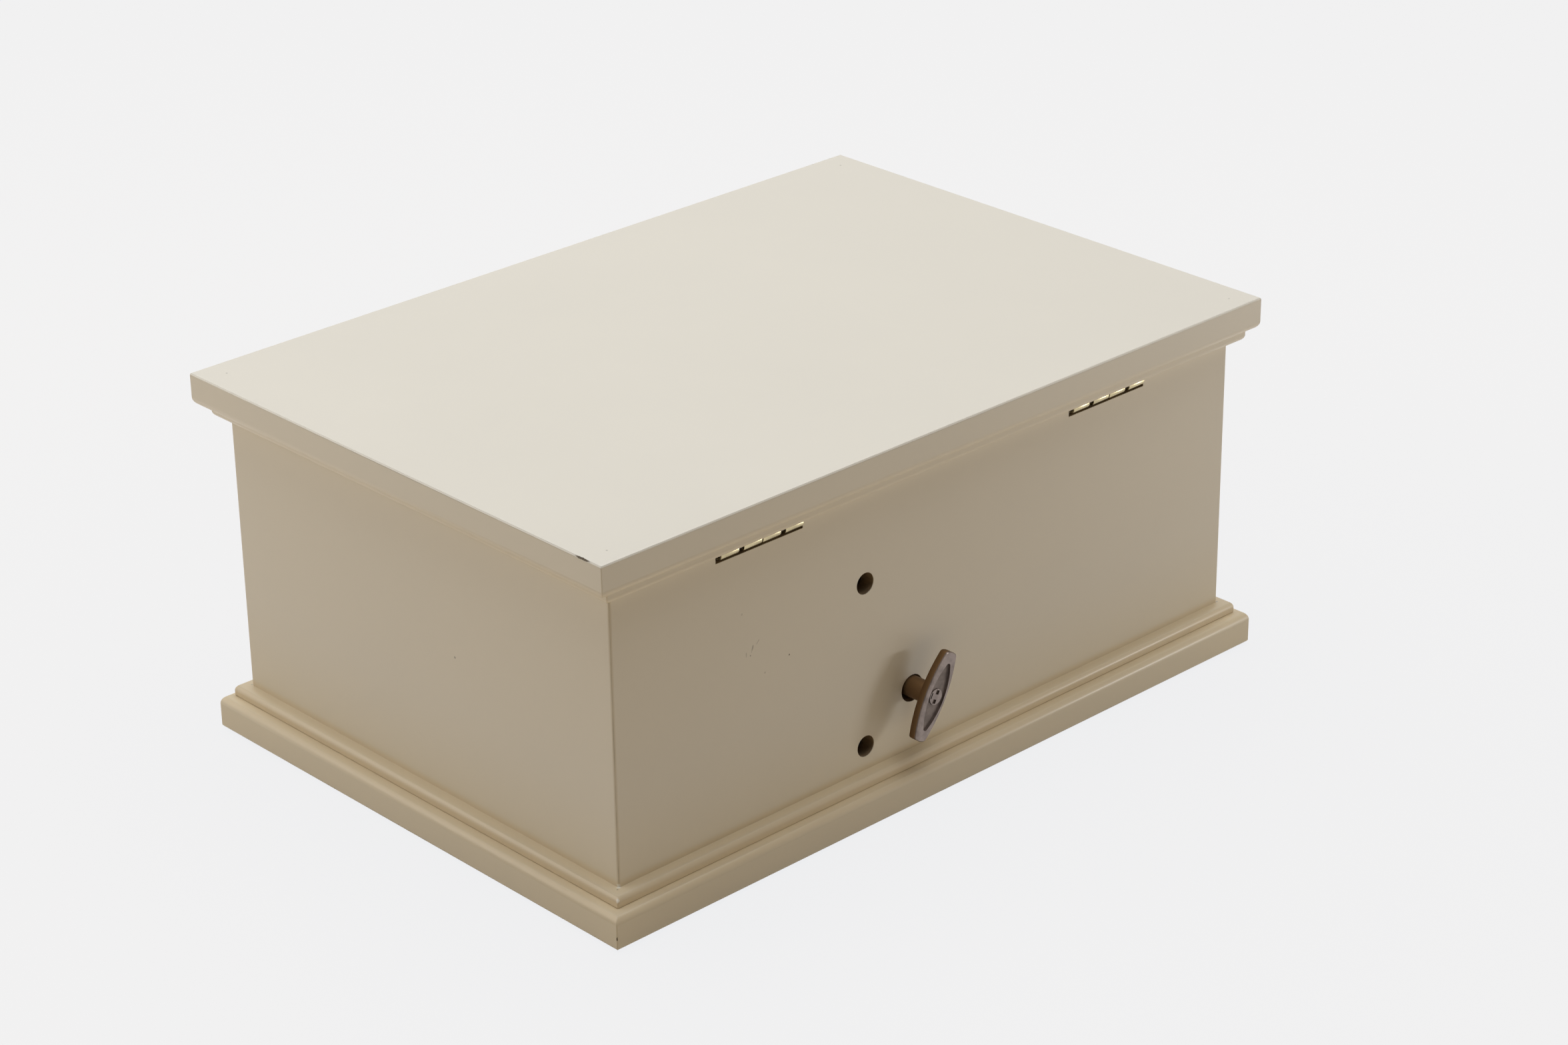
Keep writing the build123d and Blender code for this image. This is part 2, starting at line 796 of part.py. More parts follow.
# Pinned cylinder, its pinion on the crown teeth and its wheel on the governor's pinion
with BuildPart() as pinned_cylinder:
    with BuildSketch(Plane((key_x, cylinder_y, cylinder_bottom))):
        Circle(cylinder_radius)
    extrude(amount=cylinder_length)
    with BuildSketch(Plane((key_x, cylinder_y, pinion_bottom - close_fit))):
        Circle(shaft_radius)
    extrude(amount=shaft_top - pinion_bottom + close_fit)
    for track in range(comb_teeth):
        for quarter in range(pins_per_track):
            sweep_angle = 360 / pins_per_track
            share = (track * 0.618 + quarter * 0.382) % 1
            angle = sweep_angle * quarter + pin_free_angle + (sweep_angle - 2 * pin_free_angle) * share
            turn = math.radians(angle)
            spot = Plane(
                origin=(
                    key_x + cylinder_radius * math.cos(turn),
                    cylinder_y + cylinder_radius * math.sin(turn),
                    comb_first + track * comb_pitch,
                ),
                x_dir=(math.cos(turn), math.sin(turn), 0),
                z_dir=(0, 0, 1),
            )
            with Locations(spot.location):
                Box(2 * pin_height, pin_width, pin_width)
save(pinned_cylinder.part, "pinned_cylinder")

with BuildPart() as cylinder_pinion:
    pinion_plane = Plane((key_x, cylinder_y, pinion_bottom))
    extrude(
        gear_outline(pinion_plane, pinion_teeth, drive_module, 0, shaft_radius + close_fit / 2),
        amount=pinion_face,
    )
save(cylinder_pinion.part, "cylinder_pinion")

with BuildPart() as cylinder_wheel:
    wheel_plane = Plane((key_x, cylinder_y, wheel_bottom))
    extrude(
        gear_outline(wheel_plane, cylinder_wheel_teeth, train_module, 0, shaft_radius + close_fit / 2),
        amount=train_face,
    )
save(cylinder_wheel.part, "cylinder_wheel")

small_screw_holes = shafts(small_screw_spots, bearing_plate, small_screw_radius + close_fit, bearing_plate)

with BuildPart() as cylinder_bracket:
    with BuildSketch(Plane.YZ.offset(key_x)):
        bracket_top = bracket_bottom + bearing_plate + 3.2 * small_screw_head_radius
        Polygon(
            (cylinder_y - bearing_reach, bracket_bottom),
            (bed_face, bracket_bottom),
            (bed_face, bracket_top),
            (bed_face - bearing_plate, bracket_top),
            (bed_face - bearing_plate, bracket_bottom + bearing_plate),
            (cylinder_y - bearing_reach, bracket_bottom + bearing_plate),
        )
    extrude(amount=bearing_half_width, both=True)
    with Locations((key_x, cylinder_y, bracket_bottom + bearing_plate)):
        Hole(shaft_radius + running_fit)
    add(small_screw_holes, mode=Mode.SUBTRACT)
save(cylinder_bracket.part, "cylinder_bracket")

# Comb with tuned teeth, screwed to its seat
with BuildPart() as comb:
    extrude(comb_outline(on_bed(0, 0, seat_height), 0), amount=comb_body_thickness)
    with BuildSketch(on_bed(0, 0, seat_height)):
        for number in range(comb_teeth):
            bass_share = 1 - number / (comb_teeth - 1)
            root_x = comb_treble_root + (comb_bass_root - comb_treble_root) * bass_share
            tip_x = cylinder_radius + pin_height + comb_tip_gap
            z = comb_first + number * comb_pitch
            with Locations((key_x + tip_x, z)):
                Rectangle(
                    root_x - tip_x + comb_pitch,
                    comb_tooth_width,
                    align=(Align.MIN, Align.CENTER),
                )
    extrude(amount=comb_tooth_thickness)
    add(
        shafts(comb_screw_spots, comb_face, comb_screw_radius + close_fit, comb_body_thickness),
        mode=Mode.SUBTRACT,
    )
save(comb.part, "comb")


def bed_screws(spots, seat, radius, length, head_radius, head_height):
    """Screws that stand on the movement, with their heads on a seat above the bed."""
    with BuildPart() as screws:
        add(shafts(spots, seat, radius, length))
        add(shafts(spots, seat + head_height, head_radius, head_height))
    return screws.part


comb_screws = bed_screws(
    comb_screw_spots,
    comb_face,
    comb_screw_radius,
    comb_body_thickness + comb_screw_depth,
    comb_screw_head_radius,
    comb_screw_head_height,
)
save(comb_screws, "comb_screws")

frame_screws = bed_screws(
    small_screw_spots,
    bearing_plate,
    small_screw_radius,
    bearing_plate + small_screw_length,
    small_screw_head_radius,
    small_screw_head_height,
)
save(frame_screws, "frame_screws")

# Governor: its folded frame, the wheel with its pinion, and the worm with the fan
frame_left = governor_x - bearing_half_width
frame_right = key_x + bearing_half_width
with BuildPart() as governor_frame:
    with Locations((frame_left, bed_face, plate_bottom)):
        Box(
            frame_right - frame_left,
            bearing_plate,
            plate_top - plate_bottom,
            align=(Align.MIN, Align.MAX, Align.MIN),
        )
        Box(
            frame_right - frame_left,
            cylinder_rise + bearing_reach,
            bearing_plate,
            align=(Align.MIN, Align.MAX, Align.MIN),
        )
    with Locations((frame_left, bed_face, plate_top)):
        Box(
            2 * bearing_half_width,
            cylinder_rise + bearing_reach,
            bearing_plate,
            align=(Align.MIN, Align.MAX, Align.MAX),
        )
    with Locations((governor_x, cylinder_y, plate_top), (key_x, cylinder_y, plate_top)):
        Hole(shaft_radius + running_fit)
    add(small_screw_holes, mode=Mode.SUBTRACT)
save(governor_frame.part, "governor_frame")

# A worm's thread climbs one lead in a turn, so the wheel's teeth lean by the same slope
worm_pitch = math.pi * worm_module
worm_lead = worm_starts * worm_pitch
lean_slope = worm_lead / (2 * math.pi * worm_pitch_radius)
lean_turn = math.degrees(lean_slope * worm_wheel_face / 2 / worm_wheel_radius)
worm_wheel_bottom = worm_z - worm_wheel_face / 2

with BuildPart() as governor_wheel:
    low_plane = Plane((governor_x, cylinder_y, worm_wheel_bottom))
    loft(
        [
            gear_outline(low_plane, worm_wheel_teeth, worm_module, -lean_turn).face(),
            gear_outline(low_plane.offset(worm_wheel_face), worm_wheel_teeth, worm_module, lean_turn).face(),
        ],
        ruled=True,
    )
    extrude(
        gear_outline(
            Plane((governor_x, cylinder_y, wheel_bottom)),
            governor_pinion_teeth,
            train_module,
            180 / governor_pinion_teeth,
        ),
        amount=train_face,
    )
    with BuildSketch(Plane((governor_x, cylinder_y, wheel_bottom - bearing_gap / 2))):
        Circle(shaft_radius)
    extrude(amount=plate_top - wheel_bottom + bearing_gap)
save(governor_wheel.part, "governor_wheel")

worm_root = worm_pitch_radius - tooth_dedendum * worm_module
worm_tip = worm_pitch_radius + tooth_addendum * worm_module
worm_start_y = cylinder_y + worm_length / 2
worm_plane = Plane(origin=(worm_x, worm_start_y, worm_z), x_dir=(1, 0, 0), z_dir=(0, -1, 0))
with BuildPart() as worm_thread:
    with BuildLine():
        helix = Helix(worm_lead, worm_length, worm_root)
    with BuildSketch(Plane.XZ):
        half_root = tooth_root_share * worm_pitch / 2
        Polygon((worm_root * 0.8, -half_root), (worm_tip, 0), (worm_root * 0.8, half_root))
    sweep(path=helix, is_frenet=True)

# The thread's phase puts one of its gaps where the wheel has a tooth
mesh_turn = -360 * (worm_length + worm_pitch) / (2 * worm_lead)
bridge_front = bed_face - bridge_reach
with BuildPart() as governor_worm:
    with Locations(worm_plane.location):
        with PolarLocations(0, worm_starts, start_angle=mesh_turn):
            add(worm_thread.part)
    with BuildSketch(worm_plane.offset(-worm_module)):
        Circle(worm_root)
    extrude(amount=worm_length + 2 * worm_module)
    with BuildSketch(on_bed(worm_x, worm_z, bridge_reach + close_fit)):
        Circle(shaft_radius)
    extrude(amount=-bridge_reach - pivot_depth)
    with BuildSketch(on_bed(worm_x, worm_z, fan_gap)):
        Circle(fan_hub_radius)
        Rectangle(fan_blade, 2 * fan_radius)
    extrude(amount=fan_width)
save(governor_worm.part, "governor_worm")

with BuildPart() as worm_bridge:
    with BuildSketch(Plane.YZ.offset(worm_x)):
        arm_top = worm_z + bearing_half_width
        Polygon(
            (bed_face, bridge_foot),
            (bed_face, bridge_bottom + bearing_plate),
            (bridge_front + bearing_plate, bridge_bottom + bearing_plate),
            (bridge_front + bearing_plate, arm_top),
            (bridge_front, arm_top),
            (bridge_front, bridge_bottom),
            (bed_face - bearing_plate, bridge_bottom),
            (bed_face - bearing_plate, bridge_foot),
        )
    extrude(amount=bearing_half_width, both=True)
    with Locations(on_bed(worm_x, worm_z, bridge_reach).location):
        Hole(shaft_radius + running_fit, depth=bearing_plate)
    add(small_screw_holes, mode=Mode.SUBTRACT)
save(worm_bridge.part, "worm_bridge")

# Stop lever and the shoulder screw that it turns on
lever_plane = Plane(origin=(0, lever_y, 0), x_dir=(1, 0, 0), z_dir=(0, -1, 0))
lever_top = lid_bottom - loose_fit - lever_wire_radius
finger_z = fan_top + loose_fit + 2 * lever_wire_radius
knee = (worm_x + lever_knee_x, lever_top)
eye_mid = (lever_eye_radius + lever_shoulder_radius) / 2
with BuildPart() as stop_lever:
    with BuildSketch(lever_plane.offset(-lever_wire_radius)):
        with Locations((lever_x, lever_z)):
            Circle(lever_eye_radius)
    extrude(amount=2 * lever_wire_radius)
    for start, bends in (
        ((knee[0] - lever_foot_length, lever_top), [knee]),
        ((worm_x - lever_wire_radius, finger_z), []),
    ):
        last = bends[-1] if bends else start
        reach = math.dist(last, (lever_x, lever_z))
        share = 1 - eye_mid / reach
        end = (last[0] + (lever_x - last[0]) * share, last[1] + (lever_z - last[1]) * share)
        with BuildLine(lever_plane) as wire_path:
            if bends:
                FilletPolyline(start, *bends, end, radius=lever_bend_radius)
            else:
                Line(start, end)
        wire = wire_path.wires()[0]
        with BuildSketch(Plane(origin=wire @ 0, x_dir=(0, 1, 0), z_dir=wire % 0)):
            RegularPolygon(lever_wire_radius, wire_sides)
        sweep(path=wire)
    with Locations(lever_plane.offset(lever_wire_radius).location):
        with Locations((lever_x, lever_z)):
            Hole(lever_shoulder_radius + running_fit)
save(stop_lever.part, "stop_lever")

lever_seat = bed_face - lever_y + lever_wire_radius + loose_fit / 2
with BuildPart() as lever_screw:
    with BuildSketch(on_bed(lever_x, lever_z, lever_boss_height)):
        Circle(lever_shoulder_radius)
    extrude(amount=lever_seat - lever_boss_height)
    add(shafts([(lever_x, lever_z)], lever_seat + lever_head_height, lever_head_radius, lever_head_height))
    lever_shaft_length = lever_boss_height + small_screw_length
    add(shafts([(lever_x, lever_z)], lever_boss_height, small_screw_radius, lever_shaft_length))
save(lever_screw.part, "lever_screw")

# Partition in front of the movement, and the lining boards that carry the tray
partition_back = inner_back - movement_room
partition_front = partition_back - partition_thickness
deck_top = base_top + wall_height - deck_thickness * 2
deck_bottom = deck_top - deck_thickness
tray_bottom = deck_top - tray_height
inner_left, inner_front = -inner_width / 2, -inner_depth / 2


def block(x, y, z):
    """A board between two corners, each side given as a low and a high value."""
    with BuildPart() as board:
        with Locations((x[0], y[0], z[0])):
            Box(x[1] - x[0], y[1] - y[0], z[1] - z[0], align=(Align.MIN, Align.MIN, Align.MIN))
    return board.part


save(
    block((inner_left, -inner_left), (partition_front, partition_back), (base_top, deck_bottom)),
    "partition",
)
lining_edge = inner_left + lining_thickness
lining_z = (base_top, tray_bottom)
side_lining_y = (inner_front, partition_front)
save(block((inner_left, lining_edge), side_lining_y, lining_z), "left_lining")
save(block((-lining_edge, -inner_left), side_lining_y, lining_z), "right_lining")
save(
    block((lining_edge, -lining_edge), (inner_front, inner_front + lining_thickness), lining_z),
    "front_lining",
)
save(
    block((lining_edge, -lining_edge), (partition_front - lining_thickness, partition_front), lining_z),
    "partition_lining",
)

with BuildPart() as floor_pad:
    add(
        block(
            (lining_edge + loose_fit, -lining_edge - loose_fit),
            (
                inner_front + lining_thickness + loose_fit,
                partition_front - lining_thickness - loose_fit,
            ),
            (base_top, base_top + floor_pad_thickness),
        )
    )
    fillet(floor_pad.faces().sort_by(Axis.Z)[-1].edges(), pad_edge_radius)
save(floor_pad.part, "floor_pad")

# Deck over the movement: it lies on the partition and on battens, and has a clear window
window_low_x, window_high_x = key_x - window_left, key_x + window_right
window_front = partition_back + window_front_bar
window_back = window_front + window_depth
with BuildPart() as deck_battens:
    bed_gap = 2 * bearing_gap
    for low, high in (
        (inner_left, bed_left - bed_gap),
        (bed_right + bed_gap, -inner_left),
    ):
        add(
            block(
                (low, high),
                (inner_back - batten_size, inner_back),
                (deck_bottom - batten_size, deck_bottom),
            )
        )
save(deck_battens.part, "deck_battens")

with BuildPart() as deck:
    with BuildSketch(Plane.XY.offset(deck_bottom)):
        with Locations((0, (partition_front + inner_back) / 2)):
            Rectangle(inner_width - 2 * loose_fit, inner_back - partition_front)
        with Locations(((window_low_x + window_high_x) / 2, (window_front + window_back) / 2)):
            Rectangle(
                window_high_x - window_low_x - 2 * window_ledge,
                window_depth - 2 * window_ledge,
                mode=Mode.SUBTRACT,
            )
        slot_low, slot_high = lever_x - lever_slot_left, lever_x + lever_slot_right
        with Locations(((slot_low + slot_high) / 2, lever_y)):
            SlotOverall(slot_high - slot_low, 4 * lever_wire_radius, mode=Mode.SUBTRACT)
    extrude(amount=deck_thickness)
    with BuildSketch(Plane.XY.offset(deck_top)):
        with Locations(((window_low_x + window_high_x) / 2, (window_front + window_back) / 2)):
            Rectangle(window_high_x - window_low_x, window_depth)
    extrude(amount=-window_thickness, mode=Mode.SUBTRACT)
save(deck.part, "deck")

movement_window = block(
    (window_low_x + loose_fit, window_high_x - loose_fit),
    (window_front + loose_fit, window_back - loose_fit),
    (deck_top - window_thickness, deck_top),
)
save(movement_window, "movement_window")

# Tray: it lies on the lining boards and lifts out
tray_x = inner_width / 2 - loose_fit
tray_y = (inner_front + loose_fit, partition_front - loose_fit)
tray_inner_x = tray_x - tray_wall
tray_inner_y = (tray_y[0] + tray_wall, tray_y[1] - tray_wall)
tray_floor_top = tray_bottom + tray_floor
with BuildPart() as tray:
    add(block((-tray_x, tray_x), tray_y, (tray_bottom, deck_top)))
    add(
        block((-tray_inner_x, tray_inner_x), tray_inner_y, (tray_floor_top, deck_top + tray_floor)),
        mode=Mode.SUBTRACT,
    )
save(tray.part, "tray")

cell_x = rolls_end_x + divider_thickness
front_cell_end = tray_inner_y[0] + front_cell_depth
divider_z = (tray_floor_top, tray_floor_top + divider_height)
with BuildPart() as tray_dividers:
    add(block((rolls_end_x, cell_x), tray_inner_y, divider_z))
    add(block((cell_x, tray_inner_x), (front_cell_end, front_cell_end + divider_thickness), divider_z))
    add(
        block(
            (rear_cell_x, rear_cell_x + divider_thickness),
            (front_cell_end + divider_thickness, tray_inner_y[1]),
            divider_z,
        )
    )
save(tray_dividers.part, "tray_dividers")

cells = {
    "tray_pad_front": ((cell_x, tray_inner_x), (tray_inner_y[0], front_cell_end)),
    "tray_pad_middle": ((cell_x, rear_cell_x), (front_cell_end + divider_thickness, tray_inner_y[1])),
    "tray_pad_right": (
        (rear_cell_x + divider_thickness, tray_inner_x),
        (front_cell_end + divider_thickness, tray_inner_y[1]),
    ),
}
for name, (x, y) in cells.items():
    with BuildPart() as tray_pad:
        add(
            block(
                (x[0] + loose_fit, x[1] - loose_fit),
                (y[0] + loose_fit, y[1] - loose_fit),
                (tray_floor_top, tray_floor_top + tray_pad_thickness),
            )
        )
        fillet(tray_pad.faces().sort_by(Axis.Z)[-1].edges(), pad_edge_radius)
    save(tray_pad.part, name)

# Ring rolls side by side: a drawn-in foot, full sides and a round crown, with slits between them
roll_pitch = (tray_inner_y[1] - tray_inner_y[0]) / ring_rolls
roll_half = roll_pitch / 2 - loose_fit / 2
roll_shoulder = ring_roll_height - roll_half
for number in range(ring_rolls):
    roll_y = tray_inner_y[0] + (number + 0.5) * roll_pitch
    with BuildPart() as ring_roll:
        with BuildSketch(Plane.YZ.offset(-tray_inner_x + loose_fit)):
            with BuildLine():
                foot_y = roll_half - ring_roll_draw
                ThreePointArc(
                    (roll_y - foot_y, tray_floor_top),
                    (roll_y - roll_half, tray_floor_top + roll_shoulder / 2),
                    (roll_y - roll_half + ring_roll_draw / 3, tray_floor_top + roll_shoulder),
                )
                ThreePointArc(
                    (roll_y - roll_half + ring_roll_draw / 3, tray_floor_top + roll_shoulder),
                    (roll_y, tray_floor_top + ring_roll_height),
                    (roll_y + roll_half - ring_roll_draw / 3, tray_floor_top + roll_shoulder),
                )
                ThreePointArc(
                    (roll_y + roll_half - ring_roll_draw / 3, tray_floor_top + roll_shoulder),
                    (roll_y + roll_half, tray_floor_top + roll_shoulder / 2),
                    (roll_y + foot_y, tray_floor_top),
                )
                Line((roll_y + foot_y, tray_floor_top), (roll_y - foot_y, tray_floor_top))
            make_face()
        extrude(amount=rolls_end_x + tray_inner_x - 2 * loose_fit)
    save(ring_roll.part, f"ring_roll_{number + 1}")
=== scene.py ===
import math

import bmesh
import bpy
from bpy.props import FloatProperty, FloatVectorProperty, PointerProperty
from mathutils import Matrix, Vector


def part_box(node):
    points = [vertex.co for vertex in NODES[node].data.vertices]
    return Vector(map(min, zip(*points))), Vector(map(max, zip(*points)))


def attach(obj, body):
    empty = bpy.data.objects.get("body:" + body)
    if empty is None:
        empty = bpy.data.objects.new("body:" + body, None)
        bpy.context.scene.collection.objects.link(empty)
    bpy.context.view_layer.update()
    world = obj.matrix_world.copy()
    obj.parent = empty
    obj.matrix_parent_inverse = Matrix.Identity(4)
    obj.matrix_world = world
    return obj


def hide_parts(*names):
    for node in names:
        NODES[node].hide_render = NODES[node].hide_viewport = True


bl_info = {
    "name": "Musical Jewelry Box",
    "version": (1, 0, 0),
    "blender": (4, 5, 0),
    "location": "View3D > Sidebar > Jewelry Box",
    "description": "Dresses a painted musical jewelry box, and sets its studio",
    "category": "Object",
}

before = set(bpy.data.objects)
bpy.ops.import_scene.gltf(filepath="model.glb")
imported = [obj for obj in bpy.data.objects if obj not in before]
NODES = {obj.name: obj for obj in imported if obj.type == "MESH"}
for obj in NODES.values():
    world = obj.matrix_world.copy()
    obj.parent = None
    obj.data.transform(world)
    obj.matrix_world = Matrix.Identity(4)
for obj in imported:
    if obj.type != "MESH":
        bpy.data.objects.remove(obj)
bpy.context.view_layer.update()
MM = 0.001


# Settings


def colour(name, text, default, top=1.0):
    """A property for a colour, or for a light's three shares."""
    return FloatVectorProperty(
        name=name, description=text, subtype="COLOR", size=3, min=0.0, max=top, default=default
    )


def length(name, text, default, top=1.0):
    """A property for a size in metres."""
    return FloatProperty(
        name=name,
        description=text,
        subtype="DISTANCE",
        unit="LENGTH",
        min=0.0,
        max=top,
        default=default,
    )


class PaintSettings(bpy.types.PropertyGroup):
    ivory: colour("Ivory", "Colour of the satin paint", (0.745, 0.705, 0.615))
    # This tint is painted shade: it yellows and darkens the paint towards the box's foot.
    foot_shade: colour("Aged", "Tint of the yellowed paint at the foot of the box", (1.0, 0.935, 0.79))
    # This tint is painted shade, darkening the base's ledges.
    ledge_shade: colour("Ledge", "Tint of the darkened ledges of the base", (0.97, 0.90, 0.80))
    primer: colour("Primer", "Colour that shows where the paint is chipped", (0.085, 0.06, 0.03))
    # This brown is painted shade: it darkens the walls of the drilled holes and the hinges' slots.
    bare: colour("Bare wood", "Colour of the wood inside the drilled holes", (0.24, 0.165, 0.09))
    edge: colour("Edge", "Colour of the rubbed corners", (0.34, 0.32, 0.26))
    roughness: FloatProperty(
        name="Roughness", description="How satin the paint is", min=0.0, max=1.0, default=0.42
    )
    corner_x: length("Corner X", "Half width of the carcass", 0.1176)
    corner_y: length("Corner Y", "Half depth of the carcass", 0.07945)
    rubbed: length("Rubbed width", "Width of the rubbed line on a corner", 0.0003, 0.01)


class MetalSettings(bpy.types.PropertyGroup):
    brass: colour("Brass", "Colour of the movement's wheels", (0.66, 0.53, 0.27))
    hinge: colour("Hinge brass", "Colour of the pale stamped hinges", (0.60, 0.51, 0.31))
    key: colour("Key rim", "Colour of the polished rim of the key's bow", (0.265, 0.215, 0.19))
    key_hollow: colour("Key hollow", "Colour of the dull hollow of the bow", (0.175, 0.14, 0.12))
    # This dark brown is painted shade on the bow's sides and the stem.
    key_side_shade: colour("Key side", "Colour of the bow's sides and of the stem", (0.155, 0.09, 0.042))
    steel: colour("Steel", "Colour of ground steel", (0.50, 0.50, 0.51))
    dark: colour("Dark steel", "Colour of blackened screws and pins", (0.045, 0.038, 0.032))
    zinc: colour("Zinc", "Colour of the cast bedplate", (0.42, 0.42, 0.43))


class LiningSettings(bpy.types.PropertyGroup):
    velvet: colour("Velvet", "Colour of the lining's pile", (0.52, 0.44, 0.34))
    felt: colour("Felt", "Colour of the felt under the base", (0.055, 0.05, 0.043))
    seam: length("Seam", "How far a pad's edge is drawn in", 0.0012, 0.01)
    crown: length("Crown", "How far a pad swells in its middle", 0.0008, 0.01)
    slack: length("Slack", "How much smaller a stuffed piece starts", 0.0008, 0.003)


class StudioSettings(bpy.types.PropertyGroup):
    lens: FloatProperty(
        name="Lens", description="Focal length in millimetres", min=20, max=300, default=87.3
    )
    backdrop: FloatProperty(
        name="Backdrop",
        description="Grey of the background, where 1 is white",
        min=0.0,
        max=1.0,
        default=0.8796,
    )
    glow: colour("Glow", "Colour of the floor near the box, as seen", (0.9036, 0.9126, 0.9304))
    overhead: colour("Overhead", "Light of the softbox above, in tens of watts", (2.31,) * 3, 100.0)
    left: colour("Left", "Light of the softbox on the left, in tens of watts", (0.21,) * 3, 100.0)
    right: colour("Right", "Light of the low lamp, in tens of watts", (0.062,) * 3, 100.0)
    ambient: colour("Ambient", "Colour of the light from all round", (0.025, 0.02, 0.015))
    floor: colour("Floor", "Colour that the pale floor throws back", (0.72, 0.56, 0.35))


# Node helpers


def group(name, inputs, outputs):
    """An empty shader node group with named sockets."""
    tree = bpy.data.node_groups.new(name, "ShaderNodeTree")
    for label, kind, value in inputs:
        socket = tree.interface.new_socket(label, in_out="INPUT", socket_type=kind)
        if value is not None:
            socket.default_value = value
    for label, kind in outputs:
        tree.interface.new_socket(label, in_out="OUTPUT", socket_type=kind)
    return tree, tree.nodes.new("NodeGroupInput"), tree.nodes.new("NodeGroupOutput")


def node(tree, kind, **settings):
    """A shader node with its settings. An input that is given a socket is linked to it."""
    made = tree.nodes.new("ShaderNode" + kind)
    inputs = settings.pop("inputs", {})
    for key, value in settings.items():
        setattr(made, key, value)
    for key, value in inputs.items():
        if isinstance(value, bpy.types.NodeSocket):
            tree.links.new(value, made.inputs[key])
        else:
            made.inputs[key].default_value = value
    return made


def maths(tree, operation, first, second=None, third=None):
    """The result of a Math node."""
    inputs = {0: first}
    if second is not None:
        inputs[1] = second
    if third is not None:
        inputs[2] = third
    return node(tree, "Math", operation=operation, inputs=inputs).outputs[0]


def ramp(tree, value, low, high):
    """Zero below low and one above high, smooth between."""
    made = node(
        tree,
        "MapRange",
        interpolation_type="SMOOTHSTEP",
        inputs={"Value": value, "From Min": low, "From Max": high},
    )
    return made.outputs["Result"]


def mix(tree, share, first, second):
    """The first colour turning into the second, by a share."""
    made = node(tree, "Mix", data_type="RGBA", inputs={0: share})
    for key, value in ((6, first), (7, second)):
        if isinstance(value, bpy.types.NodeSocket):
            tree.links.new(value, made.inputs[key])
        else:
            made.inputs[key].default_value = value
    return made.outputs[2]


def rgba(value):
    """A colour of three parts as one of four, fully opaque."""
    return (*value[:3], 1.0)


def object_position(tree):
    """Place on the box, in metres from its origin."""
    return tree.nodes.new("ShaderNodeTexCoord").outputs["Object"]


def apart(tree, place):
    """The three parts of a place."""
    return node(tree, "SeparateXYZ", inputs={0: place}).outputs


def vector(tree, operation, first, second=(0, 0, 0)):
    """The result of a Vector Math node, which is a number for LENGTH."""
    made = node(tree, "VectorMath", operation=operation, inputs={0: first, 1: second})
    return made.outputs["Value" if operation == "LENGTH" else "Vector"]


def noise(tree, place, scale, detail=3.0, roughness=0.5):
    """Value of a noise pattern at a place."""
    return node(
        tree,
        "TexNoise",
        inputs={"Vector": place, "Scale": scale, "Detail": detail, "Roughness": roughness},
    ).outputs["Fac"]


# Shared effects


def make_mottle_group():
    """Slow change of shade over a surface, and a fine orange-peel height."""
    tree, give, take = group(
        "Mottle",
        [("Scale", "NodeSocketFloat", 20.0), ("Fine scale", "NodeSocketFloat", 1500.0)],
        [("Shade", "NodeSocketFloat"), ("Fine", "NodeSocketFloat")],
    )
    place = object_position(tree)
    slow = noise(tree, place, give.outputs["Scale"], detail=4.0, roughness=0.55)
    fine = noise(tree, place, give.outputs["Fine scale"], detail=2.0, roughness=0.5)
    tree.links.new(slow, take.inputs["Shade"])
    tree.links.new(fine, take.inputs["Fine"])


def make_mark_group():
    """A mask for one mark on the paint. It can lean, and noise can tear its edge."""
    tree, give, take = group(
        "Mark",
        [
            ("Centre", "NodeSocketVector", (0, 0, 0)),
            ("Reach", "NodeSocketVector", (0.001, 0.001, 0.001)),
            ("Lean", "NodeSocketFloat", 0.0),
            ("Strength", "NodeSocketFloat", 1.0),
            ("Torn", "NodeSocketFloat", 0.0),
        ],
        [("Mask", "NodeSocketFloat")],
    )
    x, y, z = apart(tree, vector(tree, "SUBTRACT", object_position(tree), give.outputs["Centre"]))
    leaning = maths(tree, "MULTIPLY_ADD", z, give.outputs["Lean"], x)
    upright = node(tree, "CombineXYZ", inputs={0: leaning, 1: y, 2: z}).outputs[0]
    reach = vector(tree, "LENGTH", vector(tree, "DIVIDE", upright, give.outputs["Reach"]))
    edge = maths(tree, "ADD", reach, give.outputs["Torn"])
    inside = maths(tree, "SUBTRACT", 1.0, ramp(tree, edge, 0.7, 1.15))
    mask = maths(tree, "MULTIPLY", inside, give.outputs["Strength"])
    tree.links.new(mask, take.inputs["Mask"])


def inside_wall(tree, give):
    """One between the inner and the outer face of the back wall."""
    depth = apart(tree, object_position(tree))[1]
    below = maths(tree, "SUBTRACT", give.outputs["Face"], depth)
    under_face = maths(tree, "GREATER_THAN", below, 0.0)
    in_wall = maths(tree, "LESS_THAN", below, give.outputs["Thickness"])
    return maths(tree, "MULTIPLY", under_face, in_wall)


def make_bore_group():
    """A mask for the wall of a hole drilled along Y through the back wall."""
    tree, give, take = group(
        "Bore",
        [
            ("Centre", "NodeSocketVector", (0, 0, 0)),
            ("Radius", "NodeSocketFloat", 0.003),
            ("Face", "NodeSocketFloat", 0.08),
            ("Thickness", "NodeSocketFloat", 0.0095),
        ],
        [("Mask", "NodeSocketFloat")],
    )
    away = vector(tree, "SUBTRACT", object_position(tree), give.outputs["Centre"])
    reach = vector(tree, "LENGTH", vector(tree, "MULTIPLY", away, (1, 0, 1)))
    near = maths(tree, "LESS_THAN", reach, give.outputs["Radius"])
    tree.links.new(maths(tree, "MULTIPLY", near, inside_wall(tree, give)), take.inputs["Mask"])


